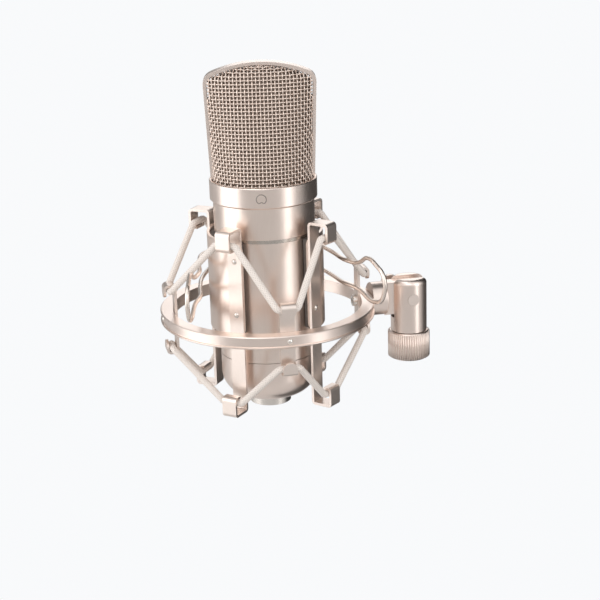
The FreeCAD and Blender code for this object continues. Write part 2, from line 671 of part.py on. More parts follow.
def squeeze_handle(side):
    """Bent-wire handle; the +X one is fixed to the -X half, and the other way round."""
    route = handle_route(0 if side > 0 else CROSS_STEP)
    radii = [0] + [bend_radius(route, i) for i in range(1, len(route) - 1)] + [0]
    wire = swept(route, radii, round_section(WIRE_RADIUS))
    return wire if side > 0 else mirrored(wire)


def handle_anchor(side):
    """Two cups on a half shell that hold the ends of the opposite handle's wire."""
    route = handle_route(CROSS_STEP if side > 0 else 0)
    pieces = []
    for end, ahead in ((route[0], route[1]), (route[-1], route[-2])):
        way = (ahead - end).normalize()
        cup = Part.makeCylinder(WIRE_RADIUS + ANCHOR_WALL, ANCHOR_LENGTH, end, way)
        foot = sector(SHELL_RADIUS, SHELL_RADIUS + ANCHOR_FOOT, ANCHOR_ANGLE - ANCHOR_HALF_ANGLE,
                      ANCHOR_ANGLE + ANCHOR_HALF_ANGLE, end.z - ANCHOR_HALF_HEIGHT,
                      end.z + ANCHOR_HALF_HEIGHT)
        body = cup.fuse(mirrored(foot)).cut(cylinder(SHELL_RADIUS, SHELL_BOTTOM, SHELL_TOP))
        pieces.append(body.cut(Part.makeCylinder(WIRE_RADIUS, ANCHOR_LENGTH * 2, end, way)))
    anchors = group(pieces)
    return mirrored(anchors) if side > 0 else anchors


# --- microphone head -----------------------------------------------------------------------------
def arch_face(inset):
    """Outline of the arch in its own plane, set in from its outer face."""
    foot = HEAD_FOOT_HALF - inset
    half = HEAD_HALF - inset
    corner = HEAD_CORNER - inset * 0.5
    top = HEAD_TOP - inset
    rise = HEAD_FOOT
    start = HEAD_SHOULDER - inset - corner
    across = half - corner
    above = top - start - corner
    reach = (across ** 2 + above ** 2) / (2 * above)
    turn = math.asin(1 - above / reach)
    right = Vec(half, 0, start)
    right_mid = Vec(across + corner * math.cos(turn / 2), 0, start + corner * math.sin(turn / 2))
    right_top = Vec(across + corner * math.cos(turn), 0, start + corner * math.sin(turn))
    mirror = [Vec(-p.x, 0, p.z) for p in (right, right_mid, right_top)]
    edges = [Part.LineSegment(Vec(-foot, 0, rise), Vec(foot, 0, rise)).toShape(),
             Part.LineSegment(Vec(foot, 0, rise), right).toShape(),
             Part.Arc(right, right_mid, right_top).toShape(),
             Part.Arc(right_top, Vec(0, 0, top), mirror[2]).toShape(),
             Part.Arc(mirror[2], mirror[1], mirror[0]).toShape(),
             Part.LineSegment(mirror[0], Vec(-foot, 0, rise)).toShape()]
    return Part.Face(Part.Wire(edges))


def arch_slab(inset, depth):
    """The arch's outline as a slab, the same depth on both sides of its plane."""
    slab = arch_face(inset).extrude(Vec(0, depth, 0))
    slab.translate(Vec(0, -depth / 2, 0))
    return slab


def head_frame():
    """Flat band bent into an arch over the head, its feet inside the collar."""
    band = arch_slab(0, BAND_DEPTH).cut(arch_slab(BAND_THICKNESS, BAND_DEPTH * 2))
    keep = cylinder(COLLAR_RADIUS - 1.0, COLLAR_BOTTOM, COLLAR_TOP + 0.2)
    above = block(100, 100, 80, Vec(0, 0, COLLAR_TOP + 40))
    return band.common(keep.fuse(above))


def basket_section(inset, height):
    """Oval section of the basket; it meets the arch's inner width at the band's edge."""
    part = (height - HEAD_FOOT) / (HEAD_SHOULDER - HEAD_FOOT)
    depth = BASKET_FOOT_DEPTH + (BASKET_TOP_DEPTH - BASKET_FOOT_DEPTH) * part - inset
    half = HEAD_FOOT_HALF + (HEAD_HALF - HEAD_FOOT_HALF) * part - inset
    width = half / math.sqrt(1 - (BAND_DEPTH / 2 / depth) ** 2)
    return Part.Wire(Part.Ellipse(Vec(0, 0, height), width, depth).toShape())


def dome_solid(inset):
    """Solid inside the head: round at the collar, narrow at the top, under the arch's outline."""
    step = (HEAD_TOP + 1 - HEAD_FOOT) / BASKET_SECTIONS
    sections = [basket_section(inset, HEAD_FOOT + step * i) for i in range(BASKET_SECTIONS + 1)]
    body = Part.makeLoft(sections, True, False)
    body = body.common(arch_slab(inset, 4 * BASKET_FOOT_DEPTH)).removeSplitter()
    rim = [e for e in body.Edges
           if e.Length > HEAD_HALF and e.CenterOfMass.z > HEAD_SHOULDER - 2 * inset]
    return body.makeFillet(BASKET_EDGE, rim)


def mesh_half(side):
    """Front (-1) or back (1) half of the outer wire basket, up to the band's edges."""
    wall = dome_solid(MESH_SET_BACK).cut(dome_solid(MESH_SET_BACK + MESH_THICKNESS))
    depth = 60
    edge = BAND_DEPTH / 2 + MESH_GAP
    keep = block(120, depth, 200, Vec(0, side * (edge + depth / 2), 100))
    floor = block(120, 120, 2, Vec(0, 0, COLLAR_BOTTOM + 2.6))
    return wall.common(keep).cut(floor)


def inner_mesh():
    """Fine inner basket."""
    inset = BAND_THICKNESS + INNER_MESH_SPACE - 1.0
    floor = block(120, 120, 4, Vec(0, 0, COLLAR_BOTTOM + 2.0))
    return dome_solid(inset).cut(dome_solid(inset + INNER_MESH_WALL)).cut(floor)


def collar():
    """Collar between body and head, with a floor that carries the deck."""
    inner = COLLAR_RADIUS - 0.95
    return revolved([(18.5, COLLAR_BOTTOM), (COLLAR_RADIUS - 0.7, COLLAR_BOTTOM),
                     (COLLAR_RADIUS, COLLAR_BOTTOM + 0.7), (COLLAR_RADIUS, COLLAR_TOP - 0.3),
                     (COLLAR_RADIUS - 0.3, COLLAR_TOP), (inner, COLLAR_TOP),
                     (inner, COLLAR_BOTTOM + 1.6), (18.5, COLLAR_BOTTOM + 1.6)])


def saddle_screw_places():
    """Axes of the two saddle screws."""
    return [Vec(side * SADDLE_SCREW_PLACE, 0, 0) for side in (1, -1)]


def head_deck():
    """Plate across the collar that carries the capsule."""
    plate = cylinder(BASKET_FOOT_DEPTH - MESH_THICKNESS - WALL, DECK_BOTTOM, DECK_BOTTOM + DECK_THICKNESS)
    for place in saddle_screw_places():
        plate = plate.cut(cylinder(SCREW_RADIUS, DECK_BOTTOM - 1, COLLAR_TOP, place))
    return plate


def capsule_saddle():
    """Post and cradle under the capsule."""
    bottom = DECK_BOTTOM + DECK_THICKNESS
    lowest = CAPSULE_HEIGHT - CAPSULE_RADIUS
    foot = cylinder(SADDLE_FOOT_RADIUS, bottom, bottom + SADDLE_FOOT)
    for place in saddle_screw_places():
        foot = foot.cut(cylinder(SCREW_RADIUS, bottom - 1, COLLAR_TOP, place))
    post = cylinder(SADDLE_POST_RADIUS, bottom, lowest)
    height = CRADLE_RISE + CRADLE_FLOOR
    cradle = block(CRADLE_WIDTH, CAPSULE_DEPTH - 1.0, height,
                   Vec(0, 0, lowest - CRADLE_FLOOR + height / 2))
    space = Part.makeCylinder(CAPSULE_RADIUS + 0.05, 40, Vec(0, -20, CAPSULE_HEIGHT), Vec(0, 1, 0))
    return foot.multiFuse([post, cradle]).cut(space).removeSplitter()


def saddle_screws():
    """Two screws that hold the saddle to the deck."""
    top = DECK_BOTTOM + DECK_THICKNESS + SADDLE_FOOT
    screws = []
    for place in saddle_screw_places():
        head = cylinder(SCREW_RADIUS * 1.9, top, top + SCREW_RADIUS, place)
        screws.append(cylinder(SCREW_RADIUS, DECK_BOTTOM, top, place).fuse(head).removeSplitter())
    return group(screws)


def capsule_ring():
    """Capsule body, with a shallow seat for a diaphragm on each face."""
    way = Vec(0, 1, 0)
    body = Part.makeCylinder(CAPSULE_RADIUS, CAPSULE_DEPTH, Vec(0, -CAPSULE_DEPTH / 2, CAPSULE_HEIGHT),
                             way)
    for start in (-CAPSULE_DEPTH / 2, CAPSULE_DEPTH / 2 - DIAPHRAGM_SEAT):
        seat = Part.makeCylinder(DIAPHRAGM_RADIUS + SEAT_FIT, DIAPHRAGM_SEAT,
                                 Vec(0, start, CAPSULE_HEIGHT), way)
        body = body.cut(seat)
    return body


def diaphragm(face):
    """Thin diaphragm in the capsule's seat; face -1 is the front."""
    floor = face * (CAPSULE_DEPTH / 2 - DIAPHRAGM_SEAT)
    start = Vec(0, min(floor, floor + face * DIAPHRAGM_THICKNESS), CAPSULE_HEIGHT)
    return Part.makeCylinder(DIAPHRAGM_RADIUS, DIAPHRAGM_THICKNESS, start, Vec(0, 1, 0))


# --- microphone body -----------------------------------------------------------------------------
def upper_body():
    """Short tube under the collar."""
    return tube(UPPER_RADIUS, UPPER_RADIUS - WALL, TRIM_BOTTOM + TRIM_HEIGHT + 0.1, COLLAR_BOTTOM - 0.05)


def trim_ring():
    """Narrow ring between the upper body and the main tube, with spigots into both."""
    seat = TUBE_RADIUS - WALL - 0.05
    flange = tube(TRIM_RADIUS, 18.6, TRIM_BOTTOM, TRIM_BOTTOM + TRIM_HEIGHT)
    return flange.fuse(tube(seat, 18.6, TRIM_BOTTOM - 4, TRIM_BOTTOM + TRIM_HEIGHT + 4)).removeSplitter()


def body_tube():
    """Main tube of the body, the part that the cage holds."""
    return tube(TUBE_RADIUS, TUBE_RADIUS - WALL, CUP_TOP + SEAM, TRIM_BOTTOM - 0.1)


def bottom_cup():
    """Cup that closes the body: a band, a rounded taper and a spigot into the tube."""
    spigot = TUBE_RADIUS - WALL - 0.05
    mouth = XLR_RADIUS + SEAT_FIT
    mouth_edge = Vec(CUP_MOUTH_RADIUS, 0, CUP_BOTTOM)
    band = Vec(TUBE_RADIUS, 0, CUP_BAND_BOTTOM)
    knee = Vec(CUP_KNEE[0], 0, CUP_KNEE[1])
    line = [band, Vec(TUBE_RADIUS, 0, CUP_TOP), Vec(spigot, 0, CUP_TOP),
            Vec(spigot, 0, CUP_TOP + CUP_SPIGOT), Vec(spigot - WALL, 0, CUP_TOP + CUP_SPIGOT),
            Vec(spigot - WALL, 0, CUP_WALL_FOOT[0]), Vec(mouth, 0, CUP_WALL_FOOT[1]),
            Vec(mouth, 0, CUP_BOTTOM), mouth_edge]
    edges = [Part.LineSegment(a, b).toShape() for a, b in zip(line, line[1:])]
    edges.append(Part.Arc(mouth_edge, knee, band).toShape())
    return Part.Face(Part.Wire(edges)).revolve(ORIGIN, UP, 360)


def xlr_shell():
    """Socket shell, pressed into the cup's mouth."""
    return tube(XLR_RADIUS, XLR_BORE_RADIUS, XLR_MOUTH, XLR_FLANGE)


def xlr_insert():
    """Insulating disc that carries the pins."""
    disc = cylinder(XLR_BORE_RADIUS - SEAT_FIT, XLR_FACE, XLR_FACE + XLR_INSERT)
    for pin in pin_places():
        disc = disc.cut(cylinder(XLR_PIN_RADIUS, XLR_FACE - 1, XLR_FACE + XLR_INSERT + 1, pin))
    return disc


def pin_places():
    """Centres of the three pins."""
    return [around(angle, XLR_PIN_CIRCLE, 0) for angle in (90, 180, 270)]


def xlr_pins():
    """Three contact pins."""
    tip = XLR_FACE - XLR_PIN_LENGTH
    pins = []
    for place in pin_places():
        pin = cylinder(XLR_PIN_RADIUS, tip, XLR_FACE + PIN_BACK, place)
        rim = [e for e in pin.Edges if e.CenterOfMass.z < tip + PIN_ROUND and e.Length > 2]
        pins.append(pin.makeFillet(PIN_ROUND, rim))
    return group(pins)


def chassis_rails():
    """Two square rails from the cup to the collar's floor that carry the board."""
    bottom = CUP_TOP + CUP_SPIGOT + 0.1
    top = COLLAR_BOTTOM - 0.1
    middle = (top + bottom) / 2
    return group([block(RAIL_SIZE, RAIL_SIZE, top - bottom, Vec(side * RAIL_PLACE, 0, middle))
                  for side in (1, -1)])


def circuit_board():
    """Board on the front of the rails."""
    y = -RAIL_SIZE / 2 - BOARD_THICKNESS / 2
    return block(BOARD_WIDTH, BOARD_THICKNESS, BOARD_HEIGHT, Vec(0, y, BOARD_MIDDLE))


def board_parts():
    """Transformer, capacitors, relays and a transistor on the board."""
    face = -RAIL_SIZE / 2 - BOARD_THICKNESS
    way = Vec(0, -1, 0)
    parts = [block(*CORE_SIZE, Vec(0, face - CORE_SIZE[1] / 2, CORE_HEIGHT))]
    parts += [Part.makeCylinder(*CAPACITOR, Vec(x, face, z), way) for x, z in CAPACITOR_PLACES]
    parts += [block(*RELAY_SIZE, Vec(x, face - RELAY_SIZE[1] / 2, z)) for x, z in RELAY_PLACES]
    parts.append(Part.makeCylinder(*TRANSISTOR, Vec(0, face, TRANSISTOR_HEIGHT), way))
    return group(parts)


# --- all nodes -----------------------------------------------------------------------------------
def stand_nodes():
    """Pieces drawn about the stand's axis."""
    return {"thread_sleeve": thread_sleeve(), "spigot_clip": spigot_clip(),
            "swivel_barrel": swivel_barrel(), "pivot_washer": pivot_washer(),
            "wing_screw": wing_screw(), "ring_boss": ring_boss(), "boss_screw": boss_screw()}


def mount_nodes():
    """Ring and cage, drawn about the microphone's axis."""
    nodes = {"suspension_ring": suspension_ring(), "ring_rivets": ring_rivets(),
             "upper_cord": elastic_cord(1), "lower_cord": elastic_cord(-1),
             "hinge_pin": hinge_pin(), "hinge_spring": hinge_spring()}
    for name, angle in (("front", 0), ("right", 90), ("back", 180), ("left", 270)):
        nodes["ring_hook_" + name] = ring_hook(angle)
    for name, side in (("right", 1), ("left", -1)):
        nodes["shell_" + name] = shell(side)
        nodes["liner_" + name] = liner(side)
        nodes["arm_front_" + name] = cage_arm(side, ARM_FRONT)
        nodes["arm_back_" + name] = cage_arm(side, ARM_BACK)
        nodes["rivets_" + name] = cage_rivets(side)
        nodes["hinge_leaf_" + name] = hinge_leaf(side)
        nodes["handle_anchor_" + name] = handle_anchor(side)
        nodes["squeeze_handle_" + name] = squeeze_handle(side)
    return nodes


def microphone_nodes():
    """Microphone, drawn facing -Y."""
    return {"head_frame": head_frame(), "mesh_front": mesh_half(-1), "mesh_back": mesh_half(1),
            "inner_mesh": inner_mesh(), "collar": collar(), "head_deck": head_deck(),
            "capsule_saddle": capsule_saddle(), "saddle_screws": saddle_screws(),
            "capsule_ring": capsule_ring(), "diaphragm_front": diaphragm(-1),
            "diaphragm_back": diaphragm(1), "upper_body": upper_body(), "trim_ring": trim_ring(),
            "body_tube": body_tube(), "bottom_cup": bottom_cup(), "xlr_shell": xlr_shell(),
            "xlr_insert": xlr_insert(), "xlr_pins": xlr_pins(), "chassis_rails": chassis_rails(),
            "circuit_board": circuit_board(), "board_parts": board_parts()}


def save_all():
    """Place every piece and write one file per node."""
    os.makedirs("parts", exist_ok=True)
    nodes = stand_nodes()
    for name, shape in mount_nodes().items():
        shape.translate(RING_PLACE)
        nodes[name] = shape
    for name, shape in microphone_nodes().items():
        placed = turned(shape, MIC_TURN)
        placed.translate(RING_PLACE)
        nodes[name] = placed
    for name, shape in nodes.items():
        shape.exportStep("parts/" + name + ".step")
        print(name, "valid" if shape.isValid() else "NOT VALID", len(shape.Solids), round(shape.Volume, 1))


save_all()
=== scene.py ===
import logging
import math
from dataclasses import dataclass, field
from enum import Enum
from typing import Callable, Iterable, Sequence

import bpy
from mathutils import Matrix, Vector


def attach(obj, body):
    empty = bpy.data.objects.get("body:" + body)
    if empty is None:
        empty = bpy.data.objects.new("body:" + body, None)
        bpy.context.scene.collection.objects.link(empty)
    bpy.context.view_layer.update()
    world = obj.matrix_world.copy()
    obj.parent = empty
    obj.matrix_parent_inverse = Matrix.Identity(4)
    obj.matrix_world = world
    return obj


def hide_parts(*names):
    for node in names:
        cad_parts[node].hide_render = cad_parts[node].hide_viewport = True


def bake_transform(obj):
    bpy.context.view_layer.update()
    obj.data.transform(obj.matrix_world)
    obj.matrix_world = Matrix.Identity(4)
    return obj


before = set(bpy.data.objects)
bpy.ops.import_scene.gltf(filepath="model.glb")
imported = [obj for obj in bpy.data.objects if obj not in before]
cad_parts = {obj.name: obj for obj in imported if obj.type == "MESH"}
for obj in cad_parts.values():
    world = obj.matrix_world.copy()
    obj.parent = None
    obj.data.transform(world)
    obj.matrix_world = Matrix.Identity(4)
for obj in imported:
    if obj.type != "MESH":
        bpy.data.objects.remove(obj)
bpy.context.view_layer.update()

LOG = logging.getLogger("studio_microphone")
RGB = tuple[float, float, float]
MM = 0.001


class Turn(Enum):
    """Which way a piece faces in the assembly."""

    MOUNT = 0.0
    MICROPHONE = -11.0


class Half(Enum):
    """Front or back half of the wire basket, with the half's turn about the upright axis."""

    FRONT = 0.0
    BACK = 180.0


# --- small helpers -------------------------------------------------------------------------------
def around(angle: float, radius: float, height: float) -> Vector:
    """Give a point at an angle from the front.

    Args:
        angle: Degrees from -Y, positive towards +X.
        radius: Distance from the upright axis.
        height: Height on that axis.

    Returns:
        The point.
    """
    a = math.radians(angle)
    return Vector((radius * math.sin(a), -radius * math.cos(a), height))


@dataclass(frozen=True)
class Axis:
    """An upright axis in the assembly, with a turn about it; local sizes are millimetres."""

    x: float
    y: float
    z: float
    turn: Turn = Turn.MOUNT

    def matrix(self) -> Matrix:
        """Matrix from local millimetres to the assembly's metres."""
        place = Matrix.Translation((self.x * MM, self.y * MM, self.z * MM))
        return place @ Matrix.Rotation(math.radians(self.turn.value), 4, "Z") @ Matrix.Scale(MM, 4)


STAND_AXIS = Axis(0.0, 0.0, 0.0)
RING_AXIS = Axis(-67.5, 0.0, 29.8)
MIC_AXIS = Axis(-67.5, 0.0, 29.8, Turn.MICROPHONE)


def mesh_object(name: str, points: Sequence[Sequence[float]], faces: Sequence[Sequence[int]],
                axis: Axis, edges: Sequence[Sequence[int]] = (), sharp: float = 40.0) -> bpy.types.Object:
    """Make a mesh object that sits at the origin, with its place in its mesh.

    Args:
        name: Name of the piece.
        points: Corners in local millimetres.
        faces: Faces as lists of corner numbers.
        axis: Where the piece stands.
        edges: Loose edges, for a piece made of paths.
        sharp: Edges sharper than this many degrees stay sharp.

    Returns:
        The new object.
    """
    mesh = bpy.data.meshes.new(name)
    mesh.from_pydata([tuple(p) for p in points], [tuple(e) for e in edges], [tuple(f) for f in faces])
    mesh.transform(axis.matrix())
    mesh.update()
    if faces:
        mesh.polygons.foreach_set("use_smooth", [True] * len(mesh.polygons))
        mesh.set_sharp_from_angle(angle=math.radians(sharp))
    piece = bpy.data.objects.new(name, mesh)
    bpy.context.scene.collection.objects.link(piece)
    return piece


def rounded(profile: Sequence[tuple[float, float, float]], steps: int = 5) -> list[tuple[float, float]]:
    """Round the corners of a closed outline.

    Args:
        profile: Corners as (radius, height, rounding).
        steps: Points in each rounded corner.

    Returns:
        The outline's points as (radius, height).
    """
    result: list[tuple[float, float]] = []
    count = len(profile)
    for i, (r, z, rounding) in enumerate(profile):
        corner = Vector((r, z))
        if rounding <= 0:
            result.append((r, z))
            continue
        before = Vector(profile[i - 1][:2]) - corner
        after = Vector(profile[(i + 1) % count][:2]) - corner
        start = corner + before.normalized() * rounding
        stop = corner + after.normalized() * rounding
        for k in range(steps + 1):
            t = k / steps
            point = start * (1 - t) ** 2 + corner * 2 * t * (1 - t) + stop * t ** 2
            result.append((point.x, point.y))
    return result


def lathe(name: str, profile: Sequence[tuple[float, float]], axis: Axis, segments: int = 160,
          sharp: float = 40.0) -> bpy.types.Object:
    """Turn a closed outline about the upright axis.

    Args:
        name: Name of the piece.
        profile: Closed outline as (radius, height), anticlockwise seen with the axis at the left.
        axis: Where the piece stands.
        segments: Steps round the axis.
        sharp: Edges sharper than this many degrees stay sharp.

    Returns:
        The turned solid.
    """
    points: list[Vector] = []
    faces: list[tuple[int, int, int, int]] = []
    rows = len(profile)
    for k in range(segments):
        points += [around(360.0 * k / segments, r, z) for r, z in profile]
    for k in range(segments):
        a, b = k * rows, ((k + 1) % segments) * rows
        faces += [(a + i, b + i, b + (i + 1) % rows, a + (i + 1) % rows) for i in range(rows)]
    return mesh_object(name, points, faces, axis, sharp=sharp)


def put_attribute(mesh: bpy.types.Mesh, name: str, kind: str, values: Iterable[float]) -> None:
    """Store one value or vector per corner point of a mesh."""
    attribute = mesh.attributes.new(name, kind, "POINT")
    attribute.data.foreach_set("value" if kind == "FLOAT" else "vector", list(values))


# --- shader groups -------------------------------------------------------------------------------
class NodeWriter:
    """Adds nodes and links to one node tree in short calls."""

    def __init__(self, tree: bpy.types.NodeTree) -> None:
        """Keep the tree that is written to."""
        self.tree = tree

    def add(self, kind: str, inputs: dict | None = None, **settings: object) -> bpy.types.Node:
        """Add a node.

        Args:
            kind: Type name of the node.
            inputs: Socket name or number to a value or to another node's output.
            settings: Settings of the node itself.

        Returns:
            The new node.
        """
        node = self.tree.nodes.new(kind)
        for key, value in settings.items():
            setattr(node, key, value)
        for key, value in (inputs or {}).items():
            socket = node.inputs[key]
            if isinstance(value, bpy.types.NodeSocket):
                self.tree.links.new(value, socket)
            else:
                socket.default_value = value
        return node

    def math(self, operation: str, *values: object) -> bpy.types.NodeSocket:
        """Add a Math node and give its output."""
        return self.add("ShaderNodeMath", dict(enumerate(values)), operation=operation).outputs[0]

    def ramp(self, value: object, low: float, high: float, to_low: float = 0.0,
             to_high: float = 1.0) -> bpy.types.NodeSocket:
        """Map a value from one range to another, clamped, and give the output."""
        node = self.add("ShaderNodeMapRange", {0: value, 1: low, 2: high, 3: to_low, 4: to_high})
        return node.outputs[0]

    def colour_mix(self, amount: object, first: object, second: object,
                   blend: str = "MIX") -> bpy.types.NodeSocket:
        """Mix two colours and give the output."""
        node = self.add("ShaderNodeMix", {0: amount, 6: first, 7: second}, data_type="RGBA",
                        blend_type=blend)
        return node.outputs[2]


def shader_group(name: str, inputs: dict[str, tuple[str, object]], outputs: dict[str, str],
                 fill: Callable[[NodeWriter, bpy.types.Node], dict]) -> bpy.types.NodeTree:
    """Build a shader group once.

    Args:
        name: Name of the group.
        inputs: Socket name to (socket type, default).
        outputs: Socket name to socket type.
        fill: Adds the nodes and returns output name to socket.

    Returns:
        The group.
    """
    if name in bpy.data.node_groups:
        return bpy.data.node_groups[name]
    group = bpy.data.node_groups.new(name, "ShaderNodeTree")
    for key, (kind, default) in inputs.items():
        socket = group.interface.new_socket(name=key, in_out="INPUT", socket_type="NodeSocket" + kind)
        if default is not None:
            socket.default_value = default
    for key, kind in outputs.items():
        group.interface.new_socket(name=key, in_out="OUTPUT", socket_type="NodeSocket" + kind)
    writer = NodeWriter(group)
    source = writer.add("NodeGroupInput")
    sink = writer.add("NodeGroupOutput")
    for key, socket in fill(writer, source).items():
        group.links.new(socket, sink.inputs[key])
    return group


def grain_group() -> bpy.types.NodeTree:
    """Fine drawn or blasted grain: a height and a shade from two stretched noises."""

    def fill(w: NodeWriter, source: bpy.types.Node) -> dict:
        """Add the two noises."""
        place = w.add("ShaderNodeVectorMath", {0: source.outputs["Vector"], 1: source.outputs["Stretch"]},
                      operation="MULTIPLY").outputs[0]
        fine = w.add("ShaderNodeTexNoise", {"Vector": place, "Scale": source.outputs["Scale"],
                                            "Detail": 3.0, "Roughness": 0.6}).outputs[0]
        wide = w.add("ShaderNodeTexNoise", {"Vector": place, "Detail": 2.0,
                                            "Scale": w.math("MULTIPLY", source.outputs["Scale"], 0.13)})
        height = w.math("ADD", w.math("MULTIPLY", fine, 0.75), w.math("MULTIPLY", wide.outputs[0], 0.25))
        return {"Height": height, "Shade": w.ramp(height, 0.35, 0.65)}

    return shader_group("grain", {"Vector": ("Vector", None), "Scale": ("Float", 4000.0),
                                  "Stretch": ("Vector", (1.0, 1.0, 1.0))},
                        {"Height": "Float", "Shade": "Float"}, fill)


def handling_group() -> bpy.types.NodeTree:
    """Faint cloudy variation left by handling, from 0 to 1."""

    def fill(w: NodeWriter, source: bpy.types.Node) -> dict:
        """Add the cloud noise."""
        cloud = w.add("ShaderNodeTexNoise", {"Vector": source.outputs["Vector"], "Detail": 5.0,
                                             "Scale": source.outputs["Scale"], "Roughness": 0.62,
                                             "Distortion": 0.6}).outputs[0]
        return {"Mask": w.ramp(cloud, source.outputs["Low"], source.outputs["High"])}

    return shader_group("handling", {"Vector": ("Vector", None), "Scale": ("Float", 60.0),
                                     "Low": ("Float", 0.4), "High": ("Float", 0.65)},
                        {"Mask": "Float"}, fill)


def braid_group() -> bpy.types.NodeTree:
    """Braided sleeve of a cord: strands that cross, from the length along and the turn around."""

    def fill(w: NodeWriter, source: bpy.types.Node) -> dict:
        """Add the two sets of strands."""
        split = w.add("ShaderNodeSeparateXYZ", {0: source.outputs["Around"]})
        angle = w.math("ARCTAN2", split.outputs[1], split.outputs[0])
        turn = w.math("MULTIPLY", angle, source.outputs["Strands"])
        run = w.math("MULTIPLY", source.outputs["Along"], source.outputs["Lay"])
        one = w.math("SINE", w.math("ADD", turn, run))
        two = w.math("SINE", w.math("SUBTRACT", turn, run))
        height = w.math("MAXIMUM", one, two)
        low = w.math("MINIMUM", one, two)
        body = w.math("ADD", w.math("MULTIPLY", height, 0.7), w.math("MULTIPLY", low, 0.3))
        # The gap mask marks where strands part; the finish darkens it there as painted shade.
        return {"Height": w.ramp(body, -1.0, 1.0), "Gap": w.ramp(body, 0.15, -0.65)}

    return shader_group("braid", {"Along": ("Float", 0.0), "Around": ("Vector", None),
                                  "Strands": ("Float", 6.0), "Lay": ("Float", 4000.0)},
                        {"Height": "Float", "Gap": "Float"}, fill)


# --- finishes ------------------------------------------------------------------------------------
class Finish:
    """Base of all finishes: builds its material the first time it is asked for."""

    name: str

    def material(self) -> bpy.types.Material:
        """Give the finish's material, built once."""
        found = bpy.data.materials.get("finish_" + self.name)
        if found:
            return found
        made = bpy.data.materials.new("finish_" + self.name)
        made.use_nodes = True
        made.node_tree.nodes.clear()
        writer = NodeWriter(made.node_tree)
        shader = writer.add("ShaderNodeBsdfPrincipled")
        target = writer.add("ShaderNodeOutputMaterial")
        made.node_tree.links.new(shader.outputs[0], target.inputs[0])
        self.dress(writer, shader)
        return made

    def dress(self, w: NodeWriter, shader: bpy.types.Node) -> None:
        """Add the finish's own nodes."""
        raise NotImplementedError

    @staticmethod
    def place(w: NodeWriter) -> bpy.types.NodeSocket:
        """Give the piece's Object coordinates."""
        return w.add("ShaderNodeTexCoord").outputs["Object"]

    @staticmethod
    def bump(w: NodeWriter, shader: bpy.types.Node, height: object, distance: float,
             soften: float = 0.0) -> None:
        """Feed a height to the shader's normal, over softened edges where asked."""
        inputs = {"Height": height, "Distance": distance, "Strength": 1.0}
        if soften > 0:
            edge = w.add("ShaderNodeBevel", {"Radius": soften}, samples=4)
            inputs["Normal"] = edge.outputs[0]
        node = w.add("ShaderNodeBump", inputs)
        w.tree.links.new(node.outputs[0], shader.inputs["Normal"])


@dataclass(frozen=True)
class MetalFinish(Finish):
    """Plated or bare metal with a fine grain and soft handling marks."""

    name: str
    color: RGB
    shade: RGB
    roughness: float
    grain_scale: float = 5200.0
    stretch: tuple[float, float, float] = (1.0, 1.0, 1.0)
    depth: float = 0.000003
    spread: float = 0.04
    edge: float = 0.00018
    coat: float = 0.0

    def dress(self, w: NodeWriter, shader: bpy.types.Node) -> None:
        """Add grain to colour, roughness and height."""
        place = self.place(w)
        grain = w.add("ShaderNodeGroup", {"Vector": place, "Scale": self.grain_scale,
                                          "Stretch": self.stretch}, node_tree=grain_group())
        marks = w.add("ShaderNodeGroup", {"Vector": place}, node_tree=handling_group())
        tone = w.colour_mix(grain.outputs["Shade"], (*self.shade, 1.0), (*self.color, 1.0))
        w.tree.links.new(tone, shader.inputs["Base Color"])
        shader.inputs["Metallic"].default_value = 1.0
        shader.inputs["Coat Weight"].default_value = self.coat
        rough = w.math("ADD", w.math("MULTIPLY", marks.outputs["Mask"], self.spread * 0.6),
                       w.math("MULTIPLY", grain.outputs["Shade"], self.spread * 0.4))
        w.tree.links.new(w.math("ADD", rough, self.roughness), shader.inputs["Roughness"])
        self.bump(w, shader, grain.outputs["Height"], self.depth, self.edge)


@dataclass(frozen=True)
class PlainFinish(Finish):
    """Moulded plastic, rubber, laminate or lacquer with a soft grain."""

    name: str
    color: RGB
    shade: RGB
    roughness: float
    grain_scale: float = 1800.0
    depth: float = 0.00002
    metallic: float = 0.0
    edge: float = 0.00015
    cloud_scale: float = 140.0

    def dress(self, w: NodeWriter, shader: bpy.types.Node) -> None:
        """Add cloudy colour and a fine height."""
        place = self.place(w)
        grain = w.add("ShaderNodeGroup", {"Vector": place, "Scale": self.grain_scale},
                      node_tree=grain_group())
        marks = w.add("ShaderNodeGroup", {"Vector": place, "Scale": self.cloud_scale},
                      node_tree=handling_group())
        tone = w.colour_mix(marks.outputs["Mask"], (*self.color, 1.0), (*self.shade, 1.0))
        w.tree.links.new(tone, shader.inputs["Base Color"])
        shader.inputs["Metallic"].default_value = self.metallic
        rough = w.ramp(grain.outputs["Shade"], 0.0, 1.0, self.roughness - 0.06, self.roughness + 0.08)
        w.tree.links.new(rough, shader.inputs["Roughness"])
        self.bump(w, shader, grain.outputs["Height"], self.depth, self.edge)


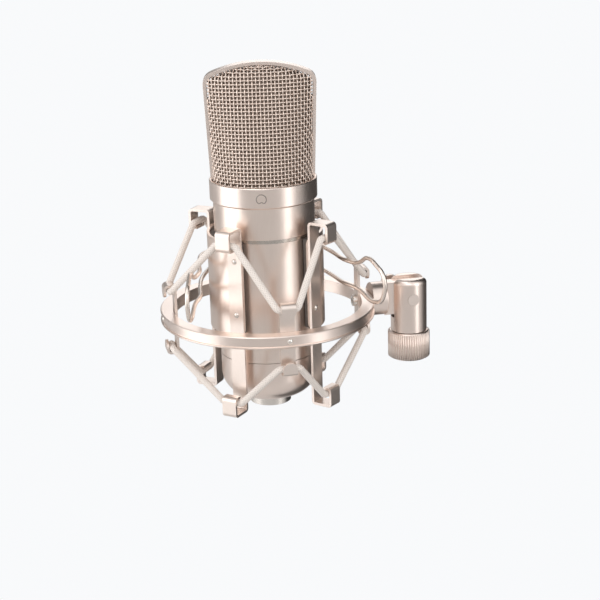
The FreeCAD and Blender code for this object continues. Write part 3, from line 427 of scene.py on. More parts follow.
@dataclass(frozen=True)
class BraidFinish(Finish):
    """Woven sleeve of an elastic cord, read from the cord's own length and turn, with painted shade in the
    gaps between strands.
    """

    name: str
    color: RGB
    shade: RGB
    gap: RGB
    strands: float = 7.0
    lay: float = 4700.0

    def dress(self, w: NodeWriter, shader: bpy.types.Node) -> None:
        """Add crossing strands, a fibre noise and painted shade in the gaps between strands."""
        along = w.add("ShaderNodeAttribute", attribute_name="along").outputs["Fac"]
        turn = w.add("ShaderNodeAttribute", attribute_name="around").outputs["Vector"]
        braid = w.add("ShaderNodeGroup", {"Along": along, "Around": turn, "Strands": self.strands,
                                          "Lay": self.lay}, node_tree=braid_group())
        fibre = w.add("ShaderNodeTexNoise", {"Vector": self.place(w), "Scale": 9000.0, "Detail": 2.0})
        yarn = w.colour_mix(fibre.outputs[0], (*self.shade, 1.0), (*self.color, 1.0))
        # Painted shade: the gaps between strands are mixed towards a darker colour, where shadow falls
        # between them.
        tone = w.colour_mix(braid.outputs["Gap"], yarn, (*self.gap, 1.0))
        w.tree.links.new(tone, shader.inputs["Base Color"])
        shader.inputs["Roughness"].default_value = 0.62
        shader.inputs["Sheen Weight"].default_value = 0.35
        shader.inputs["Sheen Roughness"].default_value = 0.4
        height = w.math("ADD", braid.outputs["Height"], w.math("MULTIPLY", fibre.outputs[0], 0.2))
        self.bump(w, shader, height, 0.00012)


CHAMPAGNE = MetalFinish("champagne_nickel", (0.95, 0.825, 0.755), (0.92, 0.795, 0.725), 0.29)
DRAWN = MetalFinish("drawn_champagne", (0.95, 0.825, 0.75), (0.92, 0.795, 0.72), 0.30, 2600.0,
                    (1.0, 1.0, 0.06), 0.000002, 0.03)
STRIP_METAL = MetalFinish("strip_nickel", (0.92, 0.815, 0.75), (0.88, 0.775, 0.71), 0.33, 4200.0)
POLISHED = MetalFinish("polished_steel", (0.86, 0.81, 0.76), (0.82, 0.77, 0.72), 0.2, depth=0.000002)
SPRING_STEEL = MetalFinish("spring_steel", (0.62, 0.60, 0.57), (0.52, 0.50, 0.47), 0.28)
HANDLE_WIRE = MetalFinish("plated_wire", (0.91, 0.81, 0.74), (0.87, 0.77, 0.70), 0.26, edge=0.0)
BASKET_WIRE = MetalFinish("basket_wire", (0.86, 0.735, 0.655), (0.78, 0.655, 0.58), 0.30, 6000.0,
                          depth=0.000003, edge=0.0)
INNER_WIRE = MetalFinish("inner_wire", (0.30, 0.235, 0.195), (0.23, 0.18, 0.145), 0.5, edge=0.0)
TRIM_METAL = MetalFinish("trim_metal", (0.66, 0.61, 0.56), (0.58, 0.53, 0.48), 0.25)
CAPSULE_BRASS = MetalFinish("capsule_brass", (0.75, 0.60, 0.36), (0.66, 0.52, 0.30), 0.3)
GOLD_FILM = MetalFinish("gold_film", (0.95, 0.76, 0.38), (0.90, 0.70, 0.34), 0.12, depth=0.000001)
CONTACT = MetalFinish("contact_silver", (0.86, 0.85, 0.82), (0.78, 0.77, 0.74), 0.18)
RAIL = MetalFinish("mill_aluminium", (0.80, 0.80, 0.80), (0.72, 0.72, 0.72), 0.34,
                   stretch=(1.0, 1.0, 0.05))
RUBBER = PlainFinish("liner_rubber", (0.13, 0.11, 0.10), (0.16, 0.14, 0.125), 0.72)
BLACK = PlainFinish("black_moulding", (0.018, 0.018, 0.019), (0.03, 0.03, 0.03), 0.45)
BOARD = PlainFinish("board_laminate", (0.02, 0.13, 0.05), (0.03, 0.17, 0.07), 0.38)
CANS = PlainFinish("component_lacquer", (0.06, 0.06, 0.065), (0.10, 0.10, 0.105), 0.35)
MARK = PlainFinish("mark_enamel", (0.25, 0.21, 0.185), (0.30, 0.26, 0.23), 0.5, edge=0.0)
# The cord's third colour is painted shade for the gaps between the braid's strands.
CORD = BraidFinish("elastic_braid", (0.93, 0.85, 0.79), (0.88, 0.80, 0.74), (0.74, 0.66, 0.60))


# --- geometry trees ------------------------------------------------------------------------------
@dataclass
class GeometryTree:
    """A Geometry Nodes tree with named sizes, used once or more and then made plain mesh."""

    name: str
    sizes: dict[str, tuple[str, object]]
    fill: Callable[[NodeWriter, bpy.types.Node], bpy.types.NodeSocket]
    tree: bpy.types.NodeTree | None = None

    def build(self) -> bpy.types.NodeTree:
        """Build the tree: inputs, the shape, Realize Instances and Set Material."""
        if self.tree:
            return self.tree
        tree = bpy.data.node_groups.new(self.name, "GeometryNodeTree")
        tree.interface.new_socket(name="Geometry", in_out="INPUT", socket_type="NodeSocketGeometry")
        for key, (kind, default) in self.sizes.items():
            socket = tree.interface.new_socket(name=key, in_out="INPUT", socket_type="NodeSocket" + kind)
            socket.default_value = default
        tree.interface.new_socket(name="Material", in_out="INPUT", socket_type="NodeSocketMaterial")
        tree.interface.new_socket(name="Geometry", in_out="OUTPUT", socket_type="NodeSocketGeometry")
        writer = NodeWriter(tree)
        source = writer.add("NodeGroupInput")
        shape = self.fill(writer, source)
        smooth = writer.add("GeometryNodeSetShadeSmooth", {0: shape})
        real = writer.add("GeometryNodeRealizeInstances", {0: smooth.outputs[0]})
        dressed = writer.add("GeometryNodeSetMaterial", {"Geometry": real.outputs[0],
                                                         "Material": source.outputs["Material"]})
        sink = writer.add("NodeGroupOutput")
        tree.links.new(dressed.outputs[0], sink.inputs[0])
        self.tree = tree
        return tree

    def apply(self, piece: bpy.types.Object, finish: Finish, **values: object) -> bpy.types.Object:
        """Run the tree on a piece and make the result plain mesh.

        Args:
            piece: Object whose mesh the tree reads.
            finish: Finish of the result.
            values: Sizes by name, with underscores for spaces.

        Returns:
            The same object with its final mesh.
        """
        tree = self.build()
        modifier = piece.modifiers.new(self.name, "NODES")
        modifier.node_group = tree
        sockets = {item.name: item.identifier for item in tree.interface.items_tree
                   if item.in_out == "INPUT"}
        for key, value in values.items():
            modifier[sockets[key.replace("_", " ")]] = value
        modifier[sockets["Material"]] = finish.material()
        bpy.context.view_layer.update()
        seen = piece.evaluated_get(bpy.context.evaluated_depsgraph_get())
        final = bpy.data.meshes.new_from_object(seen)
        piece.modifiers.remove(modifier)
        piece.data = final
        final.materials.clear()
        final.materials.append(finish.material())
        return piece


def fill_wire(w: NodeWriter, source: bpy.types.Node) -> bpy.types.NodeSocket:
    """Lift a path's points along their normals and give the path a round wire."""
    lift = w.add("GeometryNodeInputNamedAttribute", {"Name": "lift"}, data_type="FLOAT")
    way = w.add("GeometryNodeInputNamedAttribute", {"Name": "outward"}, data_type="FLOAT_VECTOR")
    amount = w.math("MULTIPLY", lift.outputs[0], source.outputs["Weave Height"])
    offset = w.add("ShaderNodeVectorMath", {0: way.outputs[0], "Scale": amount}, operation="SCALE")
    moved = w.add("GeometryNodeSetPosition", {"Geometry": source.outputs["Geometry"],
                                              "Offset": offset.outputs[0]})
    path = w.add("GeometryNodeMeshToCurve", {0: moved.outputs[0]})
    ring = w.add("GeometryNodeCurvePrimitiveCircle", {"Resolution": source.outputs["Sides"],
                                                      "Radius": source.outputs["Wire Radius"]})
    tube = w.add("GeometryNodeCurveToMesh", {"Curve": path.outputs[0], "Profile Curve": ring.outputs[0],
                                             "Fill Caps": True})
    return tube.outputs[0]


def fill_flutes(w: NodeWriter, source: bpy.types.Node) -> bpy.types.NodeSocket:
    """Stand a bar on each of many places round a circle and join them to the piece."""
    circle = w.add("GeometryNodeMeshCircle", {"Vertices": source.outputs["Count"],
                                              "Radius": source.outputs["Circle Radius"]})
    bar = w.add("GeometryNodeMeshCylinder", {"Vertices": 8, "Radius": source.outputs["Flute Radius"],
                                             "Depth": source.outputs["Flute Length"]})
    place = w.add("ShaderNodeCombineXYZ", {2: source.outputs["Height"]})
    bars = w.add("GeometryNodeInstanceOnPoints", {"Points": circle.outputs[0],
                                                  "Instance": bar.outputs[0]})
    raised = w.add("GeometryNodeTransform", {"Geometry": bars.outputs[0],
                                             "Translation": place.outputs[0]})
    both = w.add("GeometryNodeJoinGeometry")
    w.tree.links.new(source.outputs["Geometry"], both.inputs[0])
    w.tree.links.new(raised.outputs[0], both.inputs[0])
    return both.outputs[0]


def fill_coil(w: NodeWriter, source: bpy.types.Node) -> bpy.types.NodeSocket:
    """Wind a round wire into a coil that stands at a place."""
    helix = w.add("GeometryNodeCurveSpiral", {"Resolution": 28, "Rotations": source.outputs["Turns"],
                                              "Start Radius": source.outputs["Coil Radius"],
                                              "End Radius": source.outputs["Coil Radius"],
                                              "Height": source.outputs["Coil Height"]})
    ring = w.add("GeometryNodeCurvePrimitiveCircle", {"Resolution": 10,
                                                      "Radius": source.outputs["Wire Radius"]})
    wire = w.add("GeometryNodeCurveToMesh", {"Curve": helix.outputs[0], "Profile Curve": ring.outputs[0],
                                             "Fill Caps": True})
    moved = w.add("GeometryNodeTransform", {"Geometry": wire.outputs[0],
                                            "Translation": source.outputs["Foot"]})
    return moved.outputs[0]


WIRE_TREE = GeometryTree("woven_wire", {"Wire Radius": ("Float", 0.0003), "Weave Height": ("Float", 0.0003),
                                        "Sides": ("Int", 6)}, fill_wire)
FLUTE_TREE = GeometryTree("straight_flutes", {"Count": ("Int", 48), "Circle Radius": ("Float", 0.009),
                                              "Flute Radius": ("Float", 0.0004),
                                              "Flute Length": ("Float", 0.01),
                                              "Height": ("Float", 0.006)}, fill_flutes)
COIL_TREE = GeometryTree("coil_spring", {"Turns": ("Float", 6.0), "Coil Radius": ("Float", 0.002),
                                         "Coil Height": ("Float", 0.01), "Wire Radius": ("Float", 0.0004),
                                         "Foot": ("Vector", (0.0, 0.0, 0.0))}, fill_coil)


def coat(finish: Finish, *nodes: str) -> None:
    """Give CAD nodes a finish."""
    for name in nodes:
        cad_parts[name].material_slots[0].material = finish.material()


# --- head ----------------------------------------------------------------------------------------
@dataclass
class Basket:
    """Woven wire basket of the head, in two halves that grow shallower toward the arch's top."""

    inset: float = 1.15
    side_inset: float = 1.45
    top_inset: float = 1.95
    foot: float = 54.5
    foot_half: float = 23.0
    foot_depth: float = 21.8
    half: float = 24.95
    top_depth: float = 9.0
    corner: float = 5.5
    shoulder: float = 110.2
    top: float = 114.1
    band_edge: float = 3.1
    band_half: float = 3.0
    edge: float = 3.0
    pitch: float = 1.66
    wire_radius: float = 0.35
    weave_height: float = 0.27
    steps: int = 3
    halvings: int = 24
    row_samples: int = 60
    slope_step: float = 0.05
    points: list[Vector] = field(default_factory=list)
    edges: list[tuple[int, int]] = field(default_factory=list)
    lifts: list[float] = field(default_factory=list)
    outwards: list[Vector] = field(default_factory=list)

    def arch(self, x: float) -> float:
        """Height of the weave's upper edge over a place across the head."""
        corner = self.corner - self.top_inset * 0.5
        start = self.shoulder - self.top_inset - corner
        across = self.half - self.side_inset - corner
        above = self.top - self.top_inset - start - corner
        reach = (across ** 2 + above ** 2) / (2 * above)
        turn = math.asin(1 - above / reach)
        if abs(x) <= across + corner * math.cos(turn):
            return start + corner + above - reach - corner + math.sqrt((reach + corner) ** 2 - x ** 2)
        out = min((abs(x) - across) / corner, 1.0)
        return start + corner * math.sqrt(1 - out ** 2)

    def wall(self, x: float, z: float) -> float:
        """Depth of the oval section at a height, before the top is rounded off."""
        part = (z - self.foot) / (self.shoulder - self.foot)
        deep = self.foot_depth + (self.top_depth - self.foot_depth) * part - self.inset
        half = self.foot_half + (self.half - self.foot_half) * part - self.side_inset
        wide = half / math.sqrt(1 - (self.band_half / deep) ** 2)
        return deep * math.sqrt(max(1 - (x / wide) ** 2, 0.0))

    def depth(self, x: float, z: float) -> float:
        """Depth of the weave in front of the arch's plane."""
        down = min(max((self.arch(x) - z) / self.edge, 0.0), 1.0)
        room = max(self.wall(x, z) - self.band_edge, 0.0)
        return self.band_edge + room * math.sqrt(1 - (1 - down) ** 2)

    def reach(self, z: float) -> float:
        """How far from the middle a level wire goes before it meets the arch."""
        low, high = 0.0, self.half
        for _ in range(self.halvings):
            middle = (low + high) / 2
            inside = self.wall(middle, z) > self.band_edge and self.arch(middle) > z
            low, high = (middle, high) if inside else (low, middle)
        return low

    @staticmethod
    def even(outline: list[tuple[float, float]], step: float) -> list[tuple[float, float]]:
        """Walk along an outline in even steps.

        Args:
            outline: Points of the outline.
            step: Distance between the new points.

        Returns:
            The new points.
        """
        result = [outline[0]]
        spare = step
        for a, b in zip(outline, outline[1:]):
            run = math.dist(a, b)
            done = 0.0
            while run - done >= spare:
                done += spare
                t = done / run
                result.append((a[0] + (b[0] - a[0]) * t, a[1] + (b[1] - a[1]) * t))
                spare = step
            spare -= run - done
        return result

    def levels(self) -> list[float]:
        """Heights of the weave's steps, even along the middle of the front."""
        peak = self.arch(0.0)
        heights = [self.foot + 0.5, peak - self.edge]
        heights += [peak - self.edge * (1 - math.sin(math.radians(a))) for a in range(3, 90, 3)]
        outline = [(self.depth(0.0, z), z) for z in heights]
        return [z for _, z in self.even(outline, self.pitch / self.steps)]

    def row(self, z: float) -> list[tuple[float, float]]:
        """Half a level wire as (across, depth), in even steps from the middle."""
        reach = self.reach(z)
        turn = 90.0 / self.row_samples
        across = [reach * math.sin(math.radians(k * turn)) for k in range(self.row_samples + 1)]
        return self.even([(x, self.depth(x, z)) for x in across], self.pitch / self.steps)

    def place(self, x: float, z: float, lift: float) -> tuple[Vector, float, Vector]:
        """Give a point of the weave with its lift and outward direction."""
        small = self.slope_step
        across = (self.depth(x + small, z) - self.depth(x - small, z)) / (2 * small)
        upward = (self.depth(x, z) - self.depth(x, z - 2 * small)) / (2 * small)
        way = Vector((-across, -1.0, -upward)).normalized()
        return Vector((x, -self.depth(x, z), z)), lift, way

    def add_path(self, path: list[tuple[Vector, float, Vector]]) -> None:
        """Keep one wire's path: points with their lift and outward direction."""
        if len(path) < 3:
            return
        first = len(self.points)
        for point, lift, way in path:
            self.points.append(point)
            self.lifts.append(lift)
            self.outwards.append(way)
        self.edges += [(first + i, first + i + 1) for i in range(len(path) - 1)]

    def upright_wire(self, index: int, rows: list[tuple[float, list[tuple[float, float]]]]) -> None:
        """Add one wire that climbs the front and bends over to the arch."""
        side = -1 if index < 0 else 1
        path: list[tuple[Vector, float, Vector]] = []
        for k, (z, row) in enumerate(rows):
            if len(row) <= abs(index) * self.steps:
                break
            x = side * row[abs(index) * self.steps][0]
            path.append(self.place(x, z, -math.cos(math.pi * (k / self.steps + index))))
        last = path[-1][0] if path else Vector((0, 0, 0))
        peak = self.arch(last.x)
        if peak - self.edge < last.z < peak:
            begin = math.asin(1 - (peak - last.z) / self.edge)
            count = max(2, math.ceil((-last.y - self.band_edge) * self.steps / self.pitch))
            for k in range(1, count):
                a = begin + (math.pi / 2 - begin) * k / count
                path.append(self.place(last.x, peak - self.edge * (1 - math.sin(a)), 0.0))
        self.add_path(path)

    def level_wire(self, level: int, z: float, row: list[tuple[float, float]]) -> None:
        """Add one level wire across the front."""
        path = []
        for k in range(1 - len(row), len(row)):
            x = math.copysign(row[abs(k)][0], k)
            path.append(self.place(x, z, math.cos(math.pi * (k / self.steps + level))))
        self.add_path(path)

    def half_basket(self, which: Half) -> bpy.types.Object:
        """Weave one half.

        Args:
            which: Front or back.

        Returns:
            The half as one plain mesh.
        """
        self.points, self.edges, self.lifts, self.outwards = [], [], [], []
        rows = [(z, self.row(z)) for z in self.levels()]
        count = max(len(row) for _, row in rows) // self.steps
        for index in range(-count, count + 1):
            self.upright_wire(index, rows)
        for level, (z, row) in enumerate(rows[::self.steps]):
            self.level_wire(level, z, row)
        spin = Matrix.Rotation(math.radians(which.value), 4, "Z")
        name = "basket_" + which.name.lower()
        piece = mesh_object(name, [spin @ p for p in self.points], (), MIC_AXIS, self.edges)
        turn = Matrix.Rotation(math.radians(MIC_AXIS.turn.value + which.value), 3, "Z")
        put_attribute(piece.data, "lift", "FLOAT", self.lifts)
        flat = [c for way in self.outwards for c in (turn @ way)]
        put_attribute(piece.data, "outward", "FLOAT_VECTOR", flat)
        return WIRE_TREE.apply(piece, BASKET_WIRE, Wire_Radius=self.wire_radius * MM,
                               Weave_Height=self.weave_height * MM, Sides=6)

    def build(self) -> list[bpy.types.Object]:
        """Build both halves and let them stand for the plain shells."""
        pieces = []
        for which in Half:
            piece = self.half_basket(which)
            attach(piece, "microphone")
            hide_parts("mesh_" + which.name.lower())
            pieces.append(piece)
        coat(INNER_WIRE, "inner_mesh")
        coat(CHAMPAGNE, "head_frame")
        return pieces


@dataclass
class Capsule:
    """Capsule, its saddle and the deck, seen faintly through the basket."""

    def build(self) -> list[bpy.types.Object]:
        """Dress the inner pieces of the head."""
        coat(CAPSULE_BRASS, "capsule_ring")
        coat(GOLD_FILM, "diaphragm_front", "diaphragm_back")
        coat(BLACK, "capsule_saddle", "head_deck", "xlr_insert")
        coat(POLISHED, "saddle_screws")
        return []


@dataclass
class Body:
    """Turned body of the microphone and what it holds."""

    mark_angle: float = -2.5
    mark_height: float = 57.5
    mark_radius: float = 24.2
    mark_size: float = 2.2
    notch: float = 0.45
    notch_power: int = 8
    line_radius: float = 0.2
    line_lift: float = 0.02
    line_points: int = 72

    def mark(self) -> bpy.types.Object:
        """Make the front mark, the heart-shaped curve of a one-sided pickup pattern."""
        points: list[Vector] = []
        lifts: list[float] = []
        outwards: list[Vector] = []
        count = self.line_points
        for k in range(count):
            a = 2 * math.pi * k / count
            reach = self.mark_size * (1.0 - self.notch * max(0.0, -math.sin(a)) ** self.notch_power)
            side = reach * math.cos(a)
            height = self.mark_height + reach * math.sin(a)
            angle = self.mark_angle + math.degrees(side / self.mark_radius)
            points.append(around(angle, self.mark_radius + self.line_lift, height))
            lifts.append(0.0)
            outwards.append(around(angle, 1, 0))
        edges = [(k, (k + 1) % count) for k in range(count)]
        piece = mesh_object("pattern_mark", points, (), MIC_AXIS, edges)
        put_attribute(piece.data, "lift", "FLOAT", lifts)
        put_attribute(piece.data, "outward", "FLOAT_VECTOR", [c for way in outwards for c in way])
        return WIRE_TREE.apply(piece, MARK, Wire_Radius=self.line_radius * MM, Weave_Height=0.0, Sides=8)

    def build(self) -> list[bpy.types.Object]:
        """Dress the body and add its mark."""
        coat(CHAMPAGNE, "collar", "bottom_cup")
        coat(DRAWN, "upper_body", "body_tube")
        coat(TRIM_METAL, "trim_ring")
        coat(POLISHED, "xlr_shell")
        coat(CONTACT, "xlr_pins")
        coat(RAIL, "chassis_rails")
        coat(BOARD, "circuit_board")
        coat(CANS, "board_parts")
        piece = self.mark()
        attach(piece, "microphone")
        return [piece]


# --- suspension ----------------------------------------------------------------------------------
@dataclass
class Cords:
    """The two elastic cords, each split at mid height so that it bends with ring and cage."""

    radius: float = 1.55
    ring_radius: float = 44.96
    ring_height: float = 13.5
    cage_radius: float = 34.1
    cage_top: float = 38.9
    cage_bottom: float = 33.9
    ring_width: float = 6.6
    arm_width: float = 7.0
    overrun: float = 1.2
    bend: float = 2.6
    arm_front: float = 41.5
    arm_back: float = 127.0
    sides: int = 16
    corner_steps: int = 10
    longest_step: float = 0.8
    join_room: float = 1.0
    hook_room: float = 4.0

    def seat(self, angle: float, width: float, radius: float, height: float) -> list[Vector]:
        """Two points where the cord lies straight in a hook."""
        side = around(angle + 90, 1, 0)
        middle = around(angle, radius, height)
        reach = width / 2 + self.overrun
        return [middle - side * reach, middle + side * reach]

    def legs(self, sign: int) -> list[tuple[list[Vector], str]]:
        """Paths of the eight lengths of one cord, each from mid height over a hook to mid height.

        Args:
            sign: 1 for the upper cord, -1 for the lower.

        Returns:
            Corner points and the body whose hook the length lies in.
        """
        cage = self.cage_top if sign > 0 else self.cage_bottom
        order = [(0.0, self.arm_front, "jaw_right"), (90.0, self.arm_back, "jaw_right"),
                 (180.0, -self.arm_back, "jaw_left"), (270.0, -self.arm_front, "jaw_left")]
        seats = []
        for ring_angle, cage_angle, jaw in order:
            seats.append((self.seat(ring_angle, self.ring_width, self.ring_radius,
                                    sign * self.ring_height), "ring_mount"))
            seats.append((self.seat(cage_angle, self.arm_width, self.cage_radius, sign * cage), jaw))
        paths = []
        for i, (points, body) in enumerate(seats):
            before = (seats[i - 1][0][1] + points[0]) / 2
            after = (points[1] + seats[(i + 1) % len(seats)][0][0]) / 2
            paths.append(([before] + points + [after], body))
        return paths

    def centre_line(self, corners: list[Vector]) -> list[Vector]:
        """Round the corners of a path and divide it finely."""
        result = [corners[0]]
        for before, corner, after in zip(corners, corners[1:], corners[2:]):
            back, ahead = (before - corner).normalized(), (after - corner).normalized()
            half = back.angle(ahead) / 2
            reach = self.bend / math.tan(half)
            for k in range(self.corner_steps + 1):
                t = k / self.corner_steps
                start, stop = corner + back * reach, corner + ahead * reach
                result.append(start * (1 - t) ** 2 + corner * 2 * t * (1 - t) + stop * t ** 2)
        result.append(corners[-1])
        return self.divided(result, self.longest_step)

    @staticmethod
    def divided(points: list[Vector], longest: float) -> list[Vector]:
        """Divide long runs so that no step is longer than a size."""
        result = [points[0]]
        for a, b in zip(points, points[1:]):
            count = max(1, math.ceil((b - a).length / longest))
            result += [a.lerp(b, k / count) for k in range(1, count + 1)]
        return result

    def tube(self, name: str, line: list[Vector], start: float) -> bpy.types.Object:
        """Make a round length of cord.

        Args:
            name: Name of the piece.
            line: Its centre line.
            start: Length of cord before its first point, in millimetres.

        Returns:
            The length, with its run and turn stored for the braid.
        """
        points: list[Vector] = []
        faces: list[tuple[int, ...]] = []
        along: list[float] = []
        turn: list[float] = []
        side = Vector((0, 0, 1)).cross(line[1] - line[0]).normalized()
        run = start
        for i, point in enumerate(line):
            ahead = line[min(i + 1, len(line) - 1)] - line[max(i - 1, 0)]
            ahead.normalize()
            side = (side - ahead * side.dot(ahead)).normalized()
            up = ahead.cross(side)
            run += (point - line[i - 1]).length if i else 0.0
            for k in range(self.sides):
                a = 2 * math.pi * k / self.sides
                points.append(point + (side * math.cos(a) + up * math.sin(a)) * self.radius)
                along.append(run * MM)
                turn += [math.cos(a), math.sin(a), 0.0]
        n = self.sides
        for i in range(len(line) - 1):
            faces += [(i * n + k, i * n + (k + 1) % n, (i + 1) * n + (k + 1) % n, (i + 1) * n + k)
                      for k in range(n)]
        faces.append(tuple(reversed(range(n))))
        faces.append(tuple((len(line) - 1) * n + k for k in range(n)))
        piece = mesh_object(name, points, faces, RING_AXIS, sharp=70.0)
        put_attribute(piece.data, "along", "FLOAT", along)
        put_attribute(piece.data, "around", "FLOAT_VECTOR", turn)
        piece.data.materials.append(CORD.material())
        return piece

    def build(self) -> list[bpy.types.Object]:
        """Build every length and attach each one on the ring to the ring, and each one on the cage to the
        cage's spine.
        """
        pieces = []
        for sign, node in ((1, "upper_cord"), (-1, "lower_cord")):
            start = 0.0
            for i, (corners, body) in enumerate(self.legs(sign)):
                line = self.centre_line(corners)
                piece = self.tube(f"{node}_length_{i + 1}", line, start)
                start += sum((b - a).length for a, b in zip(line, line[1:]))
                on_ring = body == "ring_mount"
                pair = ("ring_mount", "cage_spine") if on_ring else ("cage_spine", body)
                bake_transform(piece)
                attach(piece, pair[0])
                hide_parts(node)
                pieces.append(piece)
        return pieces


@dataclass
class Suspension:
    """Ring with its hooks, boss and screws."""

    def build(self) -> list[bpy.types.Object]:
        """Dress the ring's pieces."""
        coat(CHAMPAGNE, "suspension_ring", "ring_boss")
        coat(STRIP_METAL, "ring_hook_front", "ring_hook_right", "ring_hook_back", "ring_hook_left")
        coat(POLISHED, "ring_rivets", "boss_screw")
        return []


@dataclass
class Cage:
    """Two spring-closed jaws that grip the body, with their wire handles."""

    hinge_radius: float = 32.0
    spring_bottom: float = 12.6
    spring_top: float = 23.4
    spring_radius: float = 2.25
    spring_wire: float = 0.42
    turns: float = 9.0

    def spring(self) -> bpy.types.Object:
        """Wind the coil on the hinge pin."""
        foot = RING_AXIS.matrix() @ Vector((0.0, self.hinge_radius, self.spring_bottom + self.spring_wire))
        piece = mesh_object("hinge_coil", [(0, 0, 0)], (), STAND_AXIS)
        height = self.spring_top - self.spring_bottom - 2 * self.spring_wire
        return COIL_TREE.apply(piece, SPRING_STEEL, Turns=self.turns, Coil_Radius=self.spring_radius * MM,
                               Coil_Height=height * MM, Wire_Radius=self.spring_wire * MM,
                               Foot=tuple(foot))

    def build(self) -> list[bpy.types.Object]:
        """Dress the jaws and add the coil."""
        for side in ("right", "left"):
            coat(DRAWN, "shell_" + side)
            coat(STRIP_METAL, "arm_front_" + side, "arm_back_" + side)
            coat(CHAMPAGNE, "hinge_leaf_" + side, "handle_anchor_" + side)
            coat(HANDLE_WIRE, "squeeze_handle_" + side)
            coat(POLISHED, "rivets_" + side)
            coat(RUBBER, "liner_" + side)
        coat(POLISHED, "hinge_pin")
        piece = self.spring()
        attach(piece, "cage_spine")
        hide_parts("hinge_spring")
        return [piece]


# --- stand swivel --------------------------------------------------------------------------------
@dataclass
class Swivel:
    """Knurled thread sleeve, forked barrel and wing screw."""

    core_radius: float = 9.4
    length: float = 13.2
    bore_radius: float = 7.4
    bore_depth: float = 10.6
    spigot_radius: float = 4.2
    spigot_top: float = 18.4
    rim: float = 0.6
    flutes: int = 53
    flute_radius: float = 0.42

    def sleeve(self) -> bpy.types.Object:
        """Turn the sleeve's core and set straight flutes round it."""
        lip = self.core_radius - 0.5
        core = rounded([(self.bore_radius, 0.0, 0.3), (lip, 0.0, 0.3), (self.core_radius, self.rim, 0.2),
                        (self.core_radius, self.length - self.rim, 0.2), (lip, self.length, 0.3),
                        (self.spigot_radius, self.length, 0.0),
                        (self.spigot_radius, self.spigot_top, 0.2), (0.01, self.spigot_top, 0.0),
                        (0.01, self.bore_depth, 0.0), (self.bore_radius, self.bore_depth, 0.0)])
        piece = lathe("knurled_sleeve", core, STAND_AXIS)
        return FLUTE_TREE.apply(piece, CHAMPAGNE, Count=self.flutes,
                                Circle_Radius=(self.core_radius + 0.05) * MM,
                                Flute_Radius=self.flute_radius * MM,
                                Flute_Length=(self.length - 2 * self.rim) * MM,
                                Height=self.length / 2 * MM)

    def build(self) -> list[bpy.types.Object]:
        """Build the sleeve and dress the rest."""
        coat(CHAMPAGNE, "swivel_barrel")
        coat(STRIP_METAL, "wing_screw")
        coat(POLISHED, "pivot_washer")
        coat(SPRING_STEEL, "spigot_clip")
        piece = self.sleeve()
        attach(piece, "stand_sleeve")
        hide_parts("thread_sleeve")
        return [piece]


# --- studio --------------------------------------------------------------------------------------
@dataclass(frozen=True)
class Lamp:
    """A soft rectangular light, placed by its angle from the camera's side of the microphone."""

    name: str
    angle: float
    height: float
    distance: float
    width: float
    tall: float
    power: float
    color: RGB = (1.0, 1.0, 1.0)
    aim_height: float = 0.07


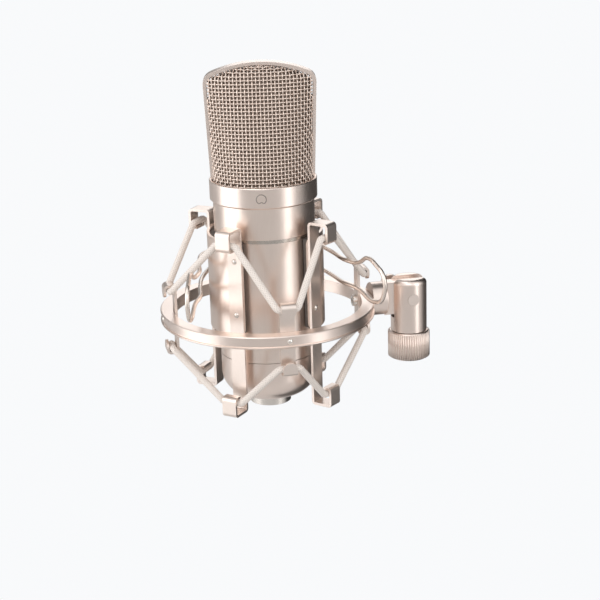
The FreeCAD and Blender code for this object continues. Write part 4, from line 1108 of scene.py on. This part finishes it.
@dataclass
class Studio:
    """Camera, floor, lamps and surroundings."""

    camera_place: tuple[float, float, float] = (-0.19460, -0.65386, 0.24599)
    camera_way: tuple[float, float, float] = (0.20278, 0.93084, -0.30399)
    camera_roll: float = -1.67
    lens: float = 91.28
    floor_height: float = -0.30
    view_turn: float = -11.0
    lamps: tuple[Lamp, ...] = (
        Lamp("left_box", -78.0, 0.16, 0.85, 0.80, 0.95, 3.3),
        Lamp("right_strip", 54.0, 0.16, 0.85, 0.30, 0.95, 1.25),
        Lamp("front_fill", -5.0, 1.0, 1.3, 0.9, 0.5, 1.8),
        Lamp("top_soft", -60.0, 1.3, 0.35, 0.7, 0.7, 1.6),
        Lamp("back_soft", 170.0, 0.55, 1.2, 0.8, 0.6, 1.8),
    )
    front_light: float = 0.92
    back_light: float = 0.30
    flag_light: float = 0.03
    flag_angle: float = 128.0
    flag_half: float = 28.0
    flag_soft: float = 18.0

    def camera(self) -> None:
        """Place the camera."""
        data = bpy.data.cameras.new("camera")
        data.lens = self.lens
        data.sensor_width = 36.0
        data.clip_start = 0.01
        data.clip_end = 50.0
        ahead = Vector(self.camera_way).normalized()
        right = ahead.cross(Vector((0, 0, 1))).normalized()
        up = right.cross(ahead)
        a = math.radians(self.camera_roll)
        side = right * math.cos(a) + up * math.sin(a)
        top = up * math.cos(a) - right * math.sin(a)
        basis = Matrix((side, top, -ahead)).transposed().to_4x4()
        camera = bpy.data.objects.new("camera", data)
        camera.matrix_world = Matrix.Translation(self.camera_place) @ basis
        bpy.context.scene.collection.objects.link(camera)
        bpy.context.scene.camera = camera

    def lamp(self, lamp: Lamp) -> None:
        """Place one lamp, turned to the microphone."""
        data = bpy.data.lights.new(lamp.name, "AREA")
        data.shape = "RECTANGLE"
        data.size = lamp.width
        data.size_y = lamp.tall
        data.energy = lamp.power
        data.color = lamp.color
        centre = Vector((RING_AXIS.x * MM, 0.0, lamp.aim_height))
        place = centre + around(lamp.angle + self.view_turn, lamp.distance, lamp.height - lamp.aim_height)
        item = bpy.data.objects.new(lamp.name, data)
        item.location = place
        item.rotation_euler = (centre - place).to_track_quat("-Z", "Y").to_euler()
        bpy.context.scene.collection.objects.link(item)

    def floor(self) -> None:
        """Lay a pale floor well below the microphone, with painted shade: a dark wedge at the right, seen
        only in reflections and bounce light.
        """
        size = 9000.0
        corners = [(-size, -size, 0), (size, -size, 0), (size, size, 0), (-size, size, 0)]
        piece = mesh_object("floor", corners, [(0, 1, 2, 3)], Axis(0.0, 0.0, self.floor_height / MM))
        finish = bpy.data.materials.new("floor_paper_with_painted_shade")
        finish.use_nodes = True
        w = NodeWriter(finish.node_tree)
        shader = finish.node_tree.nodes["Principled BSDF"]
        # Painted shade: the floor's colour turns near black in a wedge at the right of the microphone,
        # standing in for a flag that holds light off that side.
        split = w.add("ShaderNodeSeparateXYZ", {0: w.add("ShaderNodeTexCoord").outputs["Object"]})
        across = w.math("SUBTRACT", split.outputs[0], RING_AXIS.x * MM)
        angle = w.math("ARCTAN2", across, w.math("MULTIPLY", split.outputs[1], -1.0))
        tone = w.colour_mix(self.flag(w, angle), (0.03, 0.028, 0.027, 1.0), (0.70, 0.69, 0.68, 1.0))
        finish.node_tree.links.new(tone, shader.inputs["Base Color"])
        shader.inputs["Roughness"].default_value = 0.9
        glow = w.add("ShaderNodeEmission", {"Color": (0.945, 0.955, 0.968, 1.0), "Strength": 1.0})
        path = w.add("ShaderNodeLightPath")
        mix = w.add("ShaderNodeMixShader", {0: path.outputs["Is Camera Ray"], 1: shader.outputs[0],
                                            2: glow.outputs[0]})
        finish.node_tree.links.new(mix.outputs[0], finish.node_tree.nodes["Material Output"].inputs[0])
        piece.data.materials.append(finish)

    def angle_off(self, w: NodeWriter, angle: object, centre: float) -> bpy.types.NodeSocket:
        """Give how far a direction is from an angle round the microphone, from 0 to pi."""
        offset = w.math("SUBTRACT", angle, math.radians(centre + self.view_turn))
        return w.math("ARCCOSINE", w.math("COSINE", offset))

    def flag(self, w: NodeWriter, angle: object) -> bpy.types.NodeSocket:
        """Give how little a direction is held dark, from the flag's own light to 1."""
        return w.ramp(self.angle_off(w, angle, self.flag_angle), math.radians(self.flag_half),
                      math.radians(self.flag_half + self.flag_soft), self.flag_light, 1.0)

    def surroundings(self) -> None:
        """Pale where the camera looks past the floor, dim studio for everything else."""
        world = bpy.data.worlds.new("studio")
        world.use_nodes = True
        world.node_tree.nodes.clear()
        w = NodeWriter(world.node_tree)
        seen = w.add("ShaderNodeBackground", {"Color": (0.945, 0.955, 0.968, 1.0), "Strength": 1.0})
        split = w.add("ShaderNodeSeparateXYZ", {0: w.add("ShaderNodeTexCoord").outputs["Generated"]})
        angle = w.math("ARCTAN2", split.outputs[0], w.math("MULTIPLY", split.outputs[1], -1.0))
        level = w.ramp(self.angle_off(w, angle, 0.0), math.radians(60.0), math.radians(150.0),
                       self.front_light, self.back_light)
        shade = self.flag(w, angle)
        room = w.add("ShaderNodeBackground", {"Color": (0.98, 0.975, 0.97, 1.0),
                                              "Strength": w.math("MULTIPLY", level, shade)})
        path = w.add("ShaderNodeLightPath")
        mix = w.add("ShaderNodeMixShader", {0: path.outputs["Is Camera Ray"], 1: room.outputs[0],
                                            2: seen.outputs[0]})
        w.add("ShaderNodeOutputWorld", {0: mix.outputs[0]})
        bpy.context.scene.world = world

    def build(self) -> list[bpy.types.Object]:
        """Set up the studio."""
        bpy.context.scene.view_settings.view_transform = "Standard"
        self.camera()
        self.floor()
        self.surroundings()
        for lamp in self.lamps:
            self.lamp(lamp)
        return []


def main() -> None:
    """Build every sub-assembly in order and report each piece."""
    logging.basicConfig(level=logging.INFO, format="%(name)s: %(message)s")
    builders = (Studio(), Basket(), Capsule(), Body(), Suspension(), Cords(), Cage(), Swivel())
    for builder in builders:
        made = builder.build()
        names = ", ".join(f"{piece.name} ({len(piece.data.polygons)} faces)" for piece in made)
        LOG.info("%s: %s", type(builder).__name__, names or "dressed")


if __name__ == "__main__":
    main()
